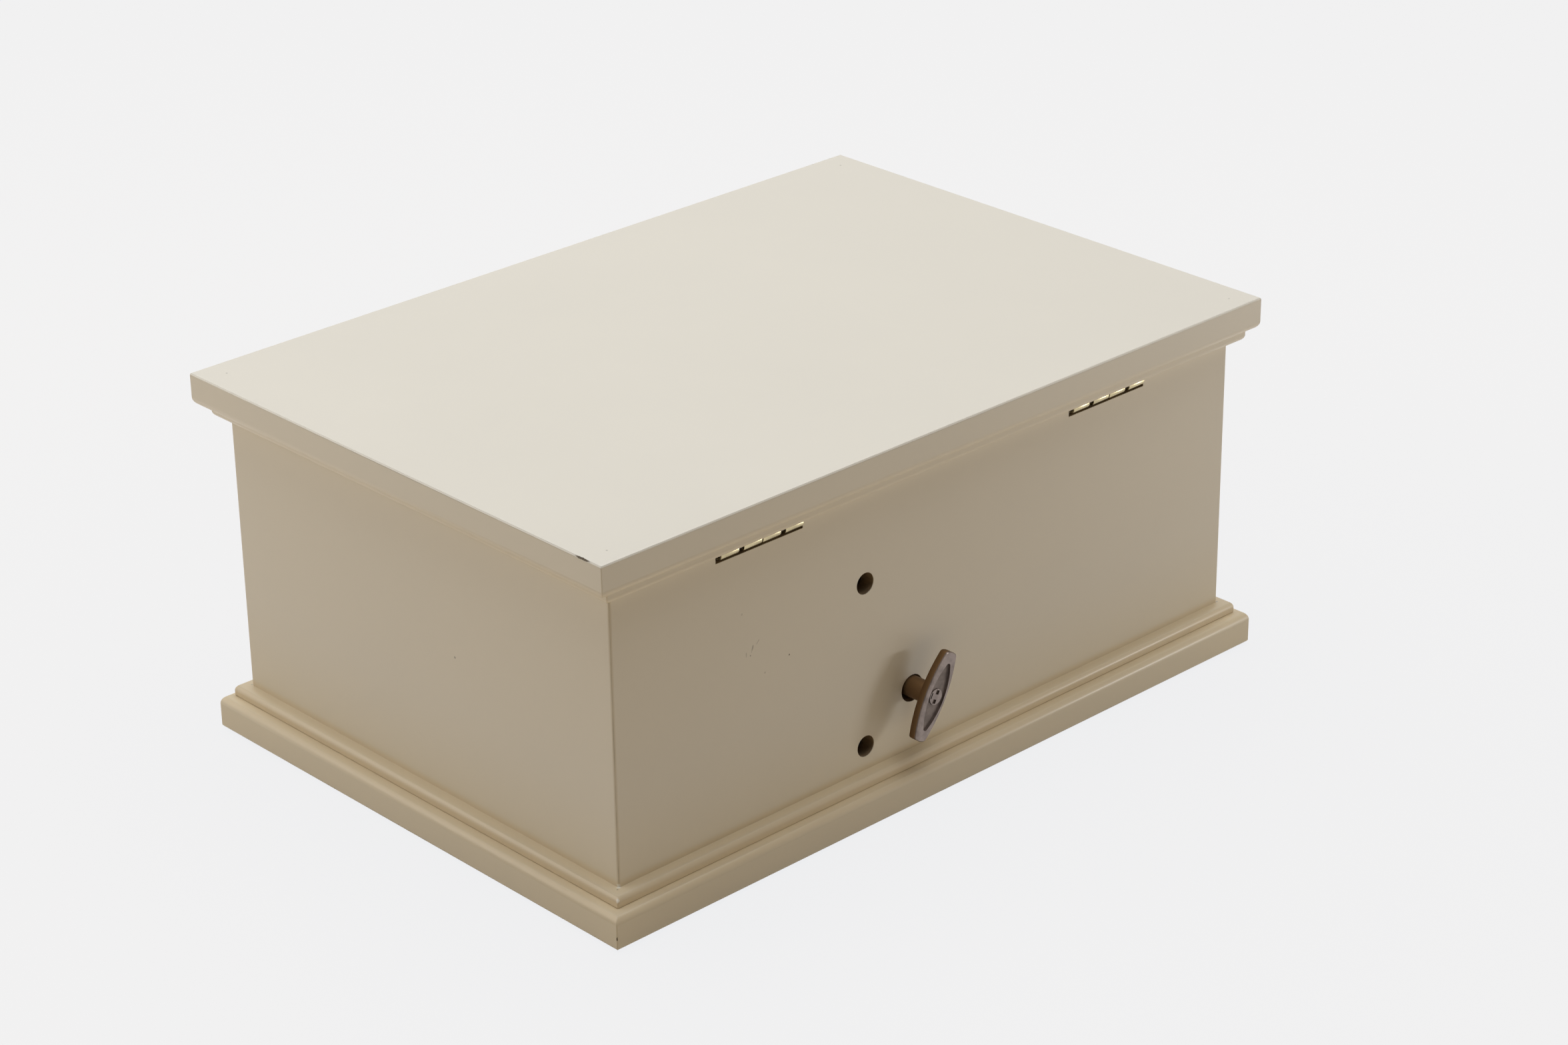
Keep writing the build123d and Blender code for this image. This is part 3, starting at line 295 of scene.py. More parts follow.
def make_slot_group():
    """A mask for the walls of a square slot cut into the back, below the painted face."""
    tree, give, take = group(
        "Slot",
        [
            ("Centre", "NodeSocketVector", (0, 0, 0)),
            ("Half", "NodeSocketVector", (1, 1, 1)),
            ("Face", "NodeSocketFloat", 0.08),
            ("Thickness", "NodeSocketFloat", 0.0095),
        ],
        [("Mask", "NodeSocketFloat")],
    )
    away = vector(tree, "SUBTRACT", object_position(tree), give.outputs["Centre"])
    x, _, z = apart(tree, vector(tree, "DIVIDE", away, give.outputs["Half"]))
    reach = maths(tree, "MAXIMUM", maths(tree, "ABSOLUTE", x), maths(tree, "ABSOLUTE", z))
    near = maths(tree, "LESS_THAN", reach, 1.0)
    tree.links.new(maths(tree, "MULTIPLY", near, inside_wall(tree, give)), take.inputs["Mask"])


def make_corner_group():
    """A mask along the four upright corners of the carcass, broken up by noise."""
    tree, give, take = group(
        "Corner wear",
        [
            ("Half X", "NodeSocketFloat", 0.1),
            ("Half Y", "NodeSocketFloat", 0.1),
            ("Width", "NodeSocketFloat", 0.0006),
        ],
        [("Mask", "NodeSocketFloat")],
    )
    x, y, _ = apart(tree, object_position(tree))
    x = maths(tree, "SUBTRACT", give.outputs["Half X"], maths(tree, "ABSOLUTE", x))
    y = maths(tree, "SUBTRACT", give.outputs["Half Y"], maths(tree, "ABSOLUTE", y))
    away = maths(tree, "MAXIMUM", maths(tree, "ABSOLUTE", x), maths(tree, "ABSOLUTE", y))
    rough = noise(tree, object_position(tree), 90.0, detail=4.0, roughness=0.6)
    width = maths(tree, "MULTIPLY", give.outputs["Width"], maths(tree, "ADD", rough, 0.5))
    near = maths(tree, "SUBTRACT", 1.0, ramp(tree, maths(tree, "DIVIDE", away, width), 0.6, 1.2))
    tree.links.new(near, take.inputs["Mask"])


def make_pile_group():
    """Velvet pile: brushed patches, and the height of its fibres."""
    tree, give, take = group(
        "Pile",
        [("Patch scale", "NodeSocketFloat", 60.0), ("Fibre scale", "NodeSocketFloat", 4500.0)],
        [("Patches", "NodeSocketFloat"), ("Fibres", "NodeSocketFloat")],
    )
    place = object_position(tree)
    patches = noise(tree, place, give.outputs["Patch scale"], detail=3.0, roughness=0.6)
    fibres = noise(tree, place, give.outputs["Fibre scale"], detail=2.0, roughness=0.7)
    tree.links.new(patches, take.inputs["Patches"])
    tree.links.new(fibres, take.inputs["Fibres"])


def make_rub_group():
    """Fine scratches and stains on metal."""
    tree, give, take = group(
        "Rubbed metal",
        [("Scale", "NodeSocketFloat", 120.0), ("Grain", "NodeSocketVector", (1, 1, 1))],
        [("Stain", "NodeSocketFloat"), ("Scratch", "NodeSocketFloat")],
    )
    place = object_position(tree)
    stain = noise(tree, place, give.outputs["Scale"], detail=5.0, roughness=0.65)
    along = vector(tree, "MULTIPLY", place, give.outputs["Grain"])
    scratch = noise(tree, along, 900.0, detail=2.0, roughness=0.5)
    tree.links.new(stain, take.inputs["Stain"])
    tree.links.new(scratch, take.inputs["Scratch"])


def place_group(tree, name, **values):
    """One use of a shared effect, with its own values."""
    made = tree.nodes.new("ShaderNodeGroup")
    made.node_tree = bpy.data.node_groups[name]
    for key, value in values.items():
        made.inputs[key.replace("_", " ")].default_value = value
    return made


def material(name):
    """A new material, its node tree and its shader."""
    made = bpy.data.materials.new(name)
    made.use_nodes = True
    tree = made.node_tree
    return made, tree, tree.nodes["Principled BSDF"]


def bump(tree, shader, height, strength, distance):
    """Raises a material's surface by a height that changes over it."""
    made = node(tree, "Bump", inputs={"Height": height, "Strength": strength, "Distance": distance})
    tree.links.new(made.outputs["Normal"], shader.inputs["Normal"])


# Finishes

# Each mark on the paint: its centre and half size in mm, how far it leans, and how dark it is.
MARKS = {
    "lid edge chip": ((124.8, 78.3, 110.2), (0.5, 2.7, 0.33), 0.0, 0.95),
    "base corner chip": ((124.6, 86.35, 4.25), (0.27, 0.27, 0.8), 0.0, 0.85),
    "back scratch": ((69.33, 79.45, 65.77), (0.26, 0.6, 1.05), 0.35, 0.42),
    "back scratch branch": ((67.38, 79.45, 67.0), (0.17, 0.6, 0.6), 0.87, 0.34),
    "back scratch tail": ((71.57, 79.45, 64.6), (0.17, 0.6, 0.78), 0.03, 0.28),
    "back scratch end": ((70.13, 79.45, 63.89), (0.27, 0.5, 0.27), 0.0, 0.45),
    "back speck": ((56.2, 79.45, 59.22), (0.24, 0.5, 0.24), 0.0, 0.8),
    "faint upper spot": ((72.81, 79.45, 76.81), (0.35, 0.5, 0.35), 0.0, 0.2),
    "faint lower spot": ((65.06, 79.45, 57.12), (0.35, 0.5, 0.35), 0.0, 0.22),
    "side speck": ((117.6, 15.8, 57.4), (0.5, 0.4, 0.38), 0.0, 0.5),
    "step speck": ((118.5, 80.0, 13.9), (0.28, 0.28, 0.4), 0.0, 0.5),
}
# Spots rubbed to a shine at the near corners of the wall's foot, the step and the base board, with
# a paler colour that is a painted glint.
SHINES_AND_PAINTED_GLINTS = {
    "wall foot": ((117.6, 79.45, 14.3), (0.7, 0.7, 0.7)),
    "step corner": ((121.25, 83.1, 13.0), (0.8, 0.8, 0.8)),
    "board corner": ((124.6, 86.35, 10.0), (0.7, 0.7, 0.7)),
}
# Holes in the back wall: the place of each on the face, and its radius, in millimetres.
BORES = {
    "key hole": (10.4, 32.4, 4.15),
    "lower screw hole": (28.2, 21.1, 3.25),
    "upper screw hole": (28.2, 70.3, 3.25),
}
# How far under the painted face the painted shade on the wall of a hole starts, and that on the
# wall of a hinge's slot.
BORE_LIP = 0.0002
SLOT_LIP = 0.0001
# How much wider and lower a hinge's slot is than its leaf, and how far it ends below the top.
SLOT_SIDE = 0.0012
SLOT_BELOW = 0.0008
SLOT_TOP = 0.0002
# Heights over which the painted shade at the foot, yellower and darker, turns to plain ivory, and
# over which the base's ledges, darkened by painted shade, start and end.
FOOT_SHADE_HEIGHTS = (-0.005, 0.045)
LEDGE_SHADE_START = (0.0078, 0.0098)
LEDGE_SHADE_END = (0.0139, 0.0165)
# How far the paint's shade drifts to each side, how far its roughness drifts in all,
# and how much of the paint is rubbed off its corners.
SHADE_DRIFT = 0.025
SATIN_DRIFT = 0.12
CORNER_RUB = 0.6
# The paint's gloss coat, and how a rubbed spot differs: paler as a painted glint, smoother and with
# more coat.
COAT = 0.15
PAINTED_GLINT_PALER = 1.25
SHINE_SMOOTHER = 0.32
SHINE_COAT = 0.8
# How torn the edge of a mark is, and how deep a chip is against the orange peel.
MARK_TEAR = 1.3
CHIP_DEPTH = 6.0
# Each metal: its colour's setting, roughness, scale of its stains, direction of its scratches,
# and the shade of a stain.
METALS = {
    "pale hinge brass": ("hinge", 0.30, 190.0, (1, 30, 30), 0.72),
    "rolled brass": ("brass", 0.24, 150.0, (1, 30, 30), 0.62),
    "ground steel": ("steel", 0.26, 200.0, (1, 30, 30), 0.8),
    "blackened steel": ("dark", 0.42, 300.0, (6, 6, 6), 0.6),
    "cast zinc": ("zinc", 0.52, 700.0, (3, 3, 3), 0.75),
    "turned brass": ("brass", 0.22, 90.0, (40, 40, 1), 0.7),
}
# Depths along Y over which the painted shade on the sides of the key's bow ends, and over which its
# rim starts.
BOW_SIDE_SHADE_END = (0.08790, 0.08818)
BOW_RIM_START = (0.08832, 0.08850)
# Each cloth: its colour's setting, scale of its brushed patches, scale of its fibres, and sheen.
CLOTHS = {
    "champagne velvet": ("velvet", 55.0, 5200.0, 0.55),
    "grey felt": ("felt", 90.0, 2600.0, 0.2),
}
# Colours of the pine's dark and pale wood, of the mirror's darker and paler silver,
# and of the clear window.
DARK_PINE, PALE_PINE = (0.42, 0.25, 0.11, 1), (0.66, 0.47, 0.27, 1)
DARK_SILVER, PALE_SILVER = (0.86, 0.88, 0.88, 1), (0.93, 0.94, 0.94, 1)
WINDOW_TINT = (0.94, 0.97, 0.98, 1)


class BOX_OT_finishes(bpy.types.Operator):
    """Makes the shared effects and every finish of the box"""

    bl_idname = "box.finishes"
    bl_label = "Finishes"

    def execute(self, context):
        for make in (
            make_mottle_group,
            make_mark_group,
            make_bore_group,
            make_slot_group,
            make_corner_group,
            make_pile_group,
            make_rub_group,
        ):
            make()
        scene = context.scene
        self.paint(scene.box_paint)
        self.pine()
        self.metals(scene.box_metal)
        self.bow(scene.box_metal)
        self.soft(scene.box_lining)
        self.clear()
        return {"FINISHED"}

    def paint(self, sizes):
        made, tree, shader = material("ivory satin paint")
        mottle = place_group(tree, "Mottle", Scale=16.0, Fine_scale=1800.0)
        shade = mottle.outputs["Shade"]
        rough = noise(tree, object_position(tree), 1400.0, detail=3.0, roughness=0.6)
        torn = maths(tree, "MULTIPLY", maths(tree, "SUBTRACT", rough, 0.5), MARK_TEAR)

        def spot(name, places):
            centre, reach = (tuple(MM * v for v in triple) for triple in places)
            mark = place_group(tree, "Mark", Centre=centre, Reach=reach)
            mark.name = name
            tree.links.new(torn, mark.inputs["Torn"])
            return mark

        mask = 0.0
        for name, (centre, reach, lean, strength) in MARKS.items():
            mark = spot(name, (centre, reach))
            mark.inputs["Lean"].default_value = lean
            mark.inputs["Strength"].default_value = strength
            mask = maths(tree, "MAXIMUM", mask, mark.outputs["Mask"])
        shine_and_painted_glint = 0.0
        for name, places in SHINES_AND_PAINTED_GLINTS.items():
            shine_and_painted_glint = maths(tree, "MAXIMUM", shine_and_painted_glint, spot(name, places).outputs["Mask"])
        hole = self.holes(tree, sizes)

        painted = mix(tree, mask, self.paint_with_painted_shade(tree, sizes, shade), rgba(sizes.primer))
        # Painted glint: the rubbed spots are given a paler colour than the paint.
        painted = mix(tree, shine_and_painted_glint, painted, rgba(Vector(sizes.ivory) * PAINTED_GLINT_PALER))
        # Painted shade: the walls of the holes and slots take a dark brown wood colour.
        bare = Vector(sizes.bare)
        wood = mix(tree, rough, rgba(bare * 0.7), rgba(bare * 1.2))
        tree.links.new(mix(tree, hole, painted, wood), shader.inputs["Base Color"])
        smoothest = sizes.roughness - SATIN_DRIFT / 2
        satin = maths(tree, "MULTIPLY_ADD", shade, SATIN_DRIFT, smoothest)
        dull = maths(tree, "MAXIMUM", satin, maths(tree, "MAXIMUM", mask, hole))
        polished = maths(tree, "MULTIPLY_ADD", shine_and_painted_glint, -SHINE_SMOOTHER, dull)
        tree.links.new(polished, shader.inputs["Roughness"])
        coat = maths(tree, "MULTIPLY_ADD", shine_and_painted_glint, SHINE_COAT, COAT)
        tree.links.new(coat, shader.inputs["Coat Weight"])
        shader.inputs["Coat Roughness"].default_value = 0.25
        chipped = maths(tree, "MULTIPLY", mask, CHIP_DEPTH)
        height = maths(tree, "SUBTRACT", mottle.outputs["Fine"], chipped)
        bump(tree, shader, height, strength=0.25, distance=0.00003)

    def paint_with_painted_shade(self, tree, sizes, shade):
        """Colour of whole paint: painted shade yellows it at the foot and darkens the ledges, and
        its corners are rubbed.
        """
        ivory = Vector(sizes.ivory)
        foot_shade = Vector([part * tint for part, tint in zip(ivory, sizes.foot_shade)])
        height = apart(tree, object_position(tree))[2]
        # Painted shade: the paint turns yellower and darker towards the foot of the box.
        clear_of_foot_shade = ramp(tree, height, *FOOT_SHADE_HEIGHTS)
        # Painted shade: the ledges of the base are darkened by a tint.
        below_end = maths(tree, "SUBTRACT", 1.0, ramp(tree, height, *LEDGE_SHADE_END))
        ledge_shade = maths(tree, "MULTIPLY", ramp(tree, height, *LEDGE_SHADE_START), below_end)
        darkest, palest = 1.0 - SHADE_DRIFT, 1.0 + SHADE_DRIFT
        drifting = mix(
            tree,
            shade,
            mix(tree, clear_of_foot_shade, rgba(foot_shade * darkest), rgba(ivory * darkest)),
            mix(tree, clear_of_foot_shade, rgba(foot_shade * palest), rgba(ivory * palest)),
        )
        darkened = node(tree, "Mix", data_type="RGBA", blend_type="MULTIPLY", inputs={0: ledge_shade})
        tree.links.new(drifting, darkened.inputs[6])
        darkened.inputs[7].default_value = rgba(sizes.ledge_shade)
        corner = place_group(
            tree, "Corner wear", Half_X=sizes.corner_x, Half_Y=sizes.corner_y, Width=sizes.rubbed
        )
        rubbed = maths(tree, "MULTIPLY", corner.outputs["Mask"], CORNER_RUB)
        return mix(tree, rubbed, darkened.outputs[2], rgba(sizes.edge))

    def holes(self, tree, sizes):
        """A mask for the painted shade on the walls of the drilled holes and the hinges' slots."""
        hole = 0.0
        for name, (x, z, radius) in BORES.items():
            bore = place_group(tree, "Bore", Centre=(MM * x, 0, MM * z), Radius=MM * radius)
            bore.inputs["Face"].default_value = sizes.corner_y - BORE_LIP
            bore.name = name
            hole = maths(tree, "MAXIMUM", hole, bore.outputs["Mask"])
        for side in ("left", "right"):
            low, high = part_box(f"hinge_body_leaf_{side}")
            low.z, high.z = low.z - SLOT_BELOW, high.z - SLOT_TOP
            half = (high - low) / 2
            slot = place_group(
                tree,
                "Slot",
                Centre=(low + high) / 2,
                Half=(half.x + SLOT_SIDE, 1.0, half.z),
                Face=sizes.corner_y - SLOT_LIP,
            )
            hole = maths(tree, "MAXIMUM", hole, slot.outputs["Mask"])
        return hole

    def pine(self):
        made, tree, shader = material("bare pine")
        grain = vector(tree, "MULTIPLY", object_position(tree), (4.0, 90.0, 90.0))
        rings = noise(tree, grain, 6.0, detail=6.0, roughness=0.6)
        tree.links.new(mix(tree, rings, DARK_PINE, PALE_PINE), shader.inputs["Base Color"])
        shader.inputs["Roughness"].default_value = 0.75
        bump(tree, shader, rings, strength=0.3, distance=0.0001)

    def metals(self, colours):
        for name, (setting, rough, scale, grain, shade) in METALS.items():
            made, tree, shader = material(name)
            rub = place_group(tree, "Rubbed metal", Scale=scale, Grain=grain)
            stain = ramp(tree, rub.outputs["Stain"], 0.35, 0.75)
            base = Vector(getattr(colours, setting))
            darkened = mix(tree, stain, rgba(base), rgba(base * shade))
            tree.links.new(darkened, shader.inputs["Base Color"])
            shader.inputs["Metallic"].default_value = 1.0
            gloss = maths(tree, "MULTIPLY_ADD", rub.outputs["Stain"], 0.25, rough - 0.1)
            tree.links.new(gloss, shader.inputs["Roughness"])
            bump(tree, shader, rub.outputs["Scratch"], strength=0.35, distance=0.00002)

    def bow(self, colours):
        """The key's plating: painted shade darkens the sides, the hollow is dull and the rim
        polished.
        """
        made, tree, shader = material("worn bow plating")
        rub = place_group(tree, "Rubbed metal", Scale=330.0, Grain=(3, 3, 3))
        stain = ramp(tree, rub.outputs["Stain"], 0.35, 0.7)
        depth = apart(tree, object_position(tree))[1]
        face = ramp(tree, depth, *BOW_SIDE_SHADE_END)
        rim = ramp(tree, depth, *BOW_RIM_START)
        hollow = Vector(colours.key_hollow)
        bright = Vector(colours.key)
        low = mix(tree, stain, rgba(hollow), rgba(hollow * 0.72))
        high = mix(tree, stain, rgba(bright), rgba(bright * 0.7))
        # Painted shade: the bow's sides and the stem are given a dark brown.
        plating = mix(tree, face, rgba(colours.key_side_shade), mix(tree, rim, low, high))
        tree.links.new(plating, shader.inputs["Base Color"])
        shader.inputs["Metallic"].default_value = 1.0
        dull = maths(tree, "MULTIPLY_ADD", rim, -0.28, 0.5)
        gloss = maths(tree, "MULTIPLY_ADD", rub.outputs["Stain"], 0.16, dull)
        tree.links.new(gloss, shader.inputs["Roughness"])
        bump(tree, shader, rub.outputs["Scratch"], strength=0.3, distance=0.00002)

    def soft(self, colours):
        for name, (setting, patch, fibre, sheen) in CLOTHS.items():
            made, tree, shader = material(name)
            pile = place_group(tree, "Pile", Patch_scale=patch, Fibre_scale=fibre)
            base = Vector(getattr(colours, setting))
            patches = ramp(tree, pile.outputs["Patches"], 0.3, 0.7)
            brushed = mix(tree, patches, rgba(base * 0.82), rgba(base * 1.12))
            fibres = mix(tree, pile.outputs["Fibres"], rgba(base * 0.55), brushed)
            tree.links.new(fibres, shader.inputs["Base Color"])
            shader.inputs["Roughness"].default_value = 0.95
            shader.inputs["Specular IOR Level"].default_value = 0.15
            shader.inputs["Sheen Weight"].default_value = sheen
            shader.inputs["Sheen Roughness"].default_value = 0.35
            bump(tree, shader, pile.outputs["Fibres"], strength=0.6, distance=0.0002)

    def clear(self):
        made, tree, shader = material("silvered mirror")
        dust = place_group(tree, "Mottle", Scale=35.0, Fine_scale=900.0).outputs["Shade"]
        tree.links.new(mix(tree, dust, DARK_SILVER, PALE_SILVER), shader.inputs["Base Color"])
        shader.inputs["Metallic"].default_value = 1.0
        smeared = maths(tree, "MULTIPLY", ramp(tree, dust, 0.55, 0.9), 0.08)
        tree.links.new(smeared, shader.inputs["Roughness"])

        made, tree, shader = material("clear window")
        haze = place_group(tree, "Mottle", Scale=60.0, Fine_scale=1200.0).outputs["Shade"]
        shader.inputs["Base Color"].default_value = WINDOW_TINT
        shader.inputs["Transmission Weight"].default_value = 1.0
        shader.inputs["IOR"].default_value = 1.49
        smeared = maths(tree, "MULTIPLY", ramp(tree, haze, 0.55, 0.95), 0.03)
        tree.links.new(smeared, shader.inputs["Roughness"])


# Solids that keep their shape

# Widths of the eased edges.
BOARD_EDGE = 0.0003
VELVET_EDGE = 0.0006
WINDOW_EDGE = 0.0003
CASTING_EDGE = 0.0004
BOW_EDGE = 0.0002
STEM_EDGE = 0.00015
SMALL_EDGE = 0.00012
PIN_EDGE = 0.0001


def dress(names, finish, edge=0.0, steps=2):
    """Gives solids their material and, where asked, a small bevel that catches the light."""
    for name in names:
        solid = NODES[name]
        solid.data.materials.clear()
        solid.data.materials.append(bpy.data.materials[finish])
        if edge:
            weld = solid.modifiers.new("weld", "WELD")
            weld.merge_threshold = 1e-6
            bevel = solid.modifiers.new("eased edges", "BEVEL")
            bevel.width = edge
            bevel.segments = steps
            bevel.limit_method = "ANGLE"
            bevel.angle_limit = math.radians(50)
            bevel.harden_normals = False
            bevel.use_clamp_overlap = True


class BOX_OT_woodwork(bpy.types.Operator):
    """Paints the carcass, the base and the lid, and covers the inner boards"""

    bl_idname = "box.woodwork"
    bl_label = "Woodwork"

    def execute(self, context):
        walls = ("front_wall", "back_wall", "left_wall", "right_wall")
        dress(walls, "ivory satin paint")
        boards = ("base_board", "base_step", "lid_board", "lid_step")
        dress(boards, "ivory satin paint", BOARD_EDGE, 3)
        dress(("deck_battens",), "bare pine")
        covered = ("partition", "deck", "tray", "tray_dividers")
        dress(covered, "champagne velvet", VELVET_EDGE)
        dress(("lid_mirror",), "silvered mirror")
        dress(("movement_window",), "clear window", WINDOW_EDGE)
        return {"FINISHED"}


class BOX_OT_hinges(bpy.types.Operator):
    """Finishes the two hinges in pale brass"""

    bl_idname = "box.hinges"
    bl_label = "Hinges"

    def execute(self, context):
        sides, kinds = ("left", "right"), ("body", "lid")
        leaves = [f"hinge_{kind}_leaf_{side}" for side in sides for kind in kinds]
        dress(leaves, "pale hinge brass", SMALL_EDGE)
        dress(("hinge_pins",), "blackened steel")
        dress(("hinge_screws_body", "hinge_screws_lid"), "pale hinge brass", PIN_EDGE, 1)
        return {"FINISHED"}


class BOX_OT_winding_key(bpy.types.Operator):
    """Finishes the winding key and its arbor"""

    bl_idname = "box.winding_key"
    bl_label = "Winding Key"

    def execute(self, context):
        dress(("key_bow",), "worn bow plating", BOW_EDGE, 3)
        dress(("key_stem",), "worn bow plating", STEM_EDGE)
        dress(("winding_arbor",), "ground steel")
        return {"FINISHED"}


class BOX_OT_movement(bpy.types.Operator):
    """Finishes the musical movement"""

    bl_idname = "box.movement"
    bl_label = "Musical Movement"

    def execute(self, context):
        dress(("bedplate",), "cast zinc", CASTING_EDGE)
        turned = ("spring_drum", "drive_wheel", "pinned_cylinder", "cylinder_pinion")
        dress(turned, "turned brass")
        dress(("cylinder_wheel",), "turned brass", SMALL_EDGE)
        dress(("governor_wheel", "arbor_bush"), "rolled brass")
        dress(("cylinder_bracket", "governor_frame", "worm_bridge"), "rolled brass", SMALL_EDGE)
        dress(("comb", "governor_worm", "stop_lever"), "ground steel")
        screws = ("movement_screws", "comb_screws", "frame_screws", "lever_screw")
        dress(screws, "blackened steel", SMALL_EDGE)
        return {"FINISHED"}


# Soft pieces

CLOTH_FRAMES = 20
# Cuts in each side of a lining, and how far in from its edge its face has swollen.
LINING_CUTS = 15
SWELL_REACH = 0.008
# Size of the cloth's faces, and how far a point may move as a share of the slack.
PAD_CLOTH = (0.0017, 1.25)
ROLL_CLOTH = (0.0016, 1.2)
# Steps of a ring roll's round top, and its share of half the roll's width.
ROLL_STEPS = 10
ROLL_ROUND = 0.97
ROLLS = 6
# The felt's cuts each way, the radius of its corners, and half the wave of its cut edge.
FELT_CUTS = 40
FELT_CORNER = 0.002
FELT_WAVE = 0.00012


def start_cube(name, low, high):
    """A cube that fills the space between two corners, left in edit mode."""
    bpy.ops.object.select_all(action="DESELECT")
    middle = (Vector(low) + Vector(high)) / 2
    size = Vector(high) - Vector(low)
    bpy.ops.mesh.primitive_cube_add(size=1.0, location=middle, scale=size)
    piece = bpy.context.active_object
    piece.name = name
    bpy.ops.object.transform_apply(location=True, rotation=True, scale=True)
    bpy.ops.object.mode_set(mode="EDIT")
    return piece


def choose_edges(piece, wanted):
    """Selects the edges of the edited piece that pass a test on their place."""
    bpy.ops.mesh.select_mode(type="EDGE")
    bpy.ops.mesh.select_all(action="DESELECT")
    mesh = bmesh.from_edit_mesh(piece.data)
    for edge in mesh.edges:
        edge.select_set(wanted(edge))
    mesh.select_flush_mode()
    bmesh.update_edit_mesh(piece.data)


def leave_edit(piece, finish, angle=35.0):
    """Ends the modelling of a piece and gives it its finish."""
    bpy.ops.mesh.select_all(action="SELECT")
    bpy.ops.mesh.normals_make_consistent(inside=False)
    bpy.ops.object.mode_set(mode="OBJECT")
    piece.data.materials.clear()
    piece.data.materials.append(bpy.data.materials[finish])
    bpy.ops.object.shade_smooth_by_angle(angle=math.radians(angle))


def apply_modifier(piece, kind, **settings):
    """Adds a modifier to a piece and applies it."""
    made = piece.modifiers.new(kind.lower(), kind)
    for key, value in settings.items():
        setattr(made, key, value)
    bpy.context.view_layer.objects.active = piece
    bpy.ops.object.modifier_apply(modifier=made.name)


def plump(piece, node_name, voxel, cap):
    """Blows a stuffed piece up as cloth, and keeps it in the space of its solid."""
    low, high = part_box(node_name)
    apply_modifier(piece, "REMESH", mode="VOXEL", voxel_size=voxel)
    start = [corner.co.copy() for corner in piece.data.vertices]
    cloth = piece.modifiers.new("cloth", "CLOTH")
    cloth.settings.quality = 6
    cloth.settings.tension_stiffness = 25.0
    cloth.settings.compression_stiffness = 25.0
    cloth.settings.bending_stiffness = 0.02
    cloth.settings.use_pressure = True
    cloth.settings.uniform_pressure_force = 4.0
    cloth.settings.effector_weights.gravity = 0.0
    cloth.collision_settings.use_collision = False
    cloth.point_cache.frame_end = CLOTH_FRAMES
    for step in range(1, CLOTH_FRAMES + 1):
        bpy.context.scene.frame_set(step)
    bpy.context.view_layer.objects.active = piece
    bpy.ops.object.modifier_apply(modifier=cloth.name)
    bpy.context.scene.frame_set(1)
    for corner, old in zip(piece.data.vertices, start):
        move = corner.co - old
        if move.length > cap:
            move *= cap / move.length
        limits = zip(old + move, low, high)
        corner.co = [min(max(part, least), most) for part, least, most in limits]
    apply_modifier(piece, "SUBSURF", levels=1, render_levels=1)
    piece.data.materials.clear()
    piece.data.materials.append(bpy.data.materials["champagne velvet"])
    bpy.ops.object.shade_smooth()


def soft_piece(piece, node_name):
    """Attaches a stuffed piece to the box and hides the solid that it stands for."""
    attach(piece, "box")
    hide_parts(node_name)


def padded_board(name, node_name, up, crown, seam):
    """A pad over a flat board: its face swells a little and its edges are drawn in."""
    low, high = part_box(node_name)
    size = high - low
    piece = start_cube(name, low, high)
    face_axis = max(range(3), key=lambda k: abs(up[k]))
    bpy.ops.mesh.select_all(action="SELECT")
    bpy.ops.mesh.subdivide(number_cuts=LINING_CUTS)
    mesh = bmesh.from_edit_mesh(piece.data)
    middle = (low + high) / 2
    sign = 1 if up[face_axis] > 0 else -1
    flat = [k for k in range(3) if k != face_axis]
    for corner in mesh.verts:
        depth = sign * (corner.co[face_axis] - middle[face_axis]) / size[face_axis] + 0.5
        inset = min(size[k] / 2 - abs(corner.co[k] - middle[k]) for k in flat)
        rise = 1.0 - math.exp(-inset / SWELL_REACH)
        drop = (crown + seam) * (1.0 - rise) * depth
        corner.co[face_axis] -= sign * drop
        for k in flat:
            reach = size[k] / 2
            if reach - abs(corner.co[k] - middle[k]) < 1e-6:
                corner.co[k] -= math.copysign(seam * 0.4 * depth, corner.co[k] - middle[k])
    bmesh.update_edit_mesh(piece.data)
    leave_edit(piece, "champagne velvet", 60.0)
    apply_modifier(piece, "SUBSURF", levels=1, render_levels=1)
    bpy.ops.object.shade_smooth()
    soft_piece(piece, node_name)


class BOX_OT_linings(bpy.types.Operator):
    """Covers the lining boards and the floor with thin velvet pads"""

    bl_idname = "box.linings"
    bl_label = "Linings"

    def execute(self, context):
        sizes = context.scene.box_lining
        for node_name, up in (
            ("left_lining", (1, 0, 0)),
            ("right_lining", (-1, 0, 0)),
            ("front_lining", (0, 1, 0)),
            ("partition_lining", (0, -1, 0)),
            ("floor_pad", (0, 0, 1)),
        ):
            padded_board(f"velvet_{node_name}", node_name, up, sizes.crown, sizes.seam)
        return {"FINISHED"}


class BOX_OT_tray_pads(bpy.types.Operator):
    """Blows up the three velvet pads in the tray's cells"""

    bl_idname = "box.tray_pads"
    bl_label = "Tray Pads"

    def execute(self, context):
        slack = context.scene.box_lining.slack
        voxel, share = PAD_CLOTH
        for name in ("tray_pad_front", "tray_pad_middle", "tray_pad_right"):
            low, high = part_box(name)
            inset = Vector((slack, slack, slack))
            piece = start_cube(f"velvet_{name}", low + inset, high - inset)
            bpy.ops.mesh.subdivide(number_cuts=4)
            bpy.ops.object.mode_set(mode="OBJECT")
            plump(piece, name, voxel, slack * share)
            soft_piece(piece, name)
        return {"FINISHED"}


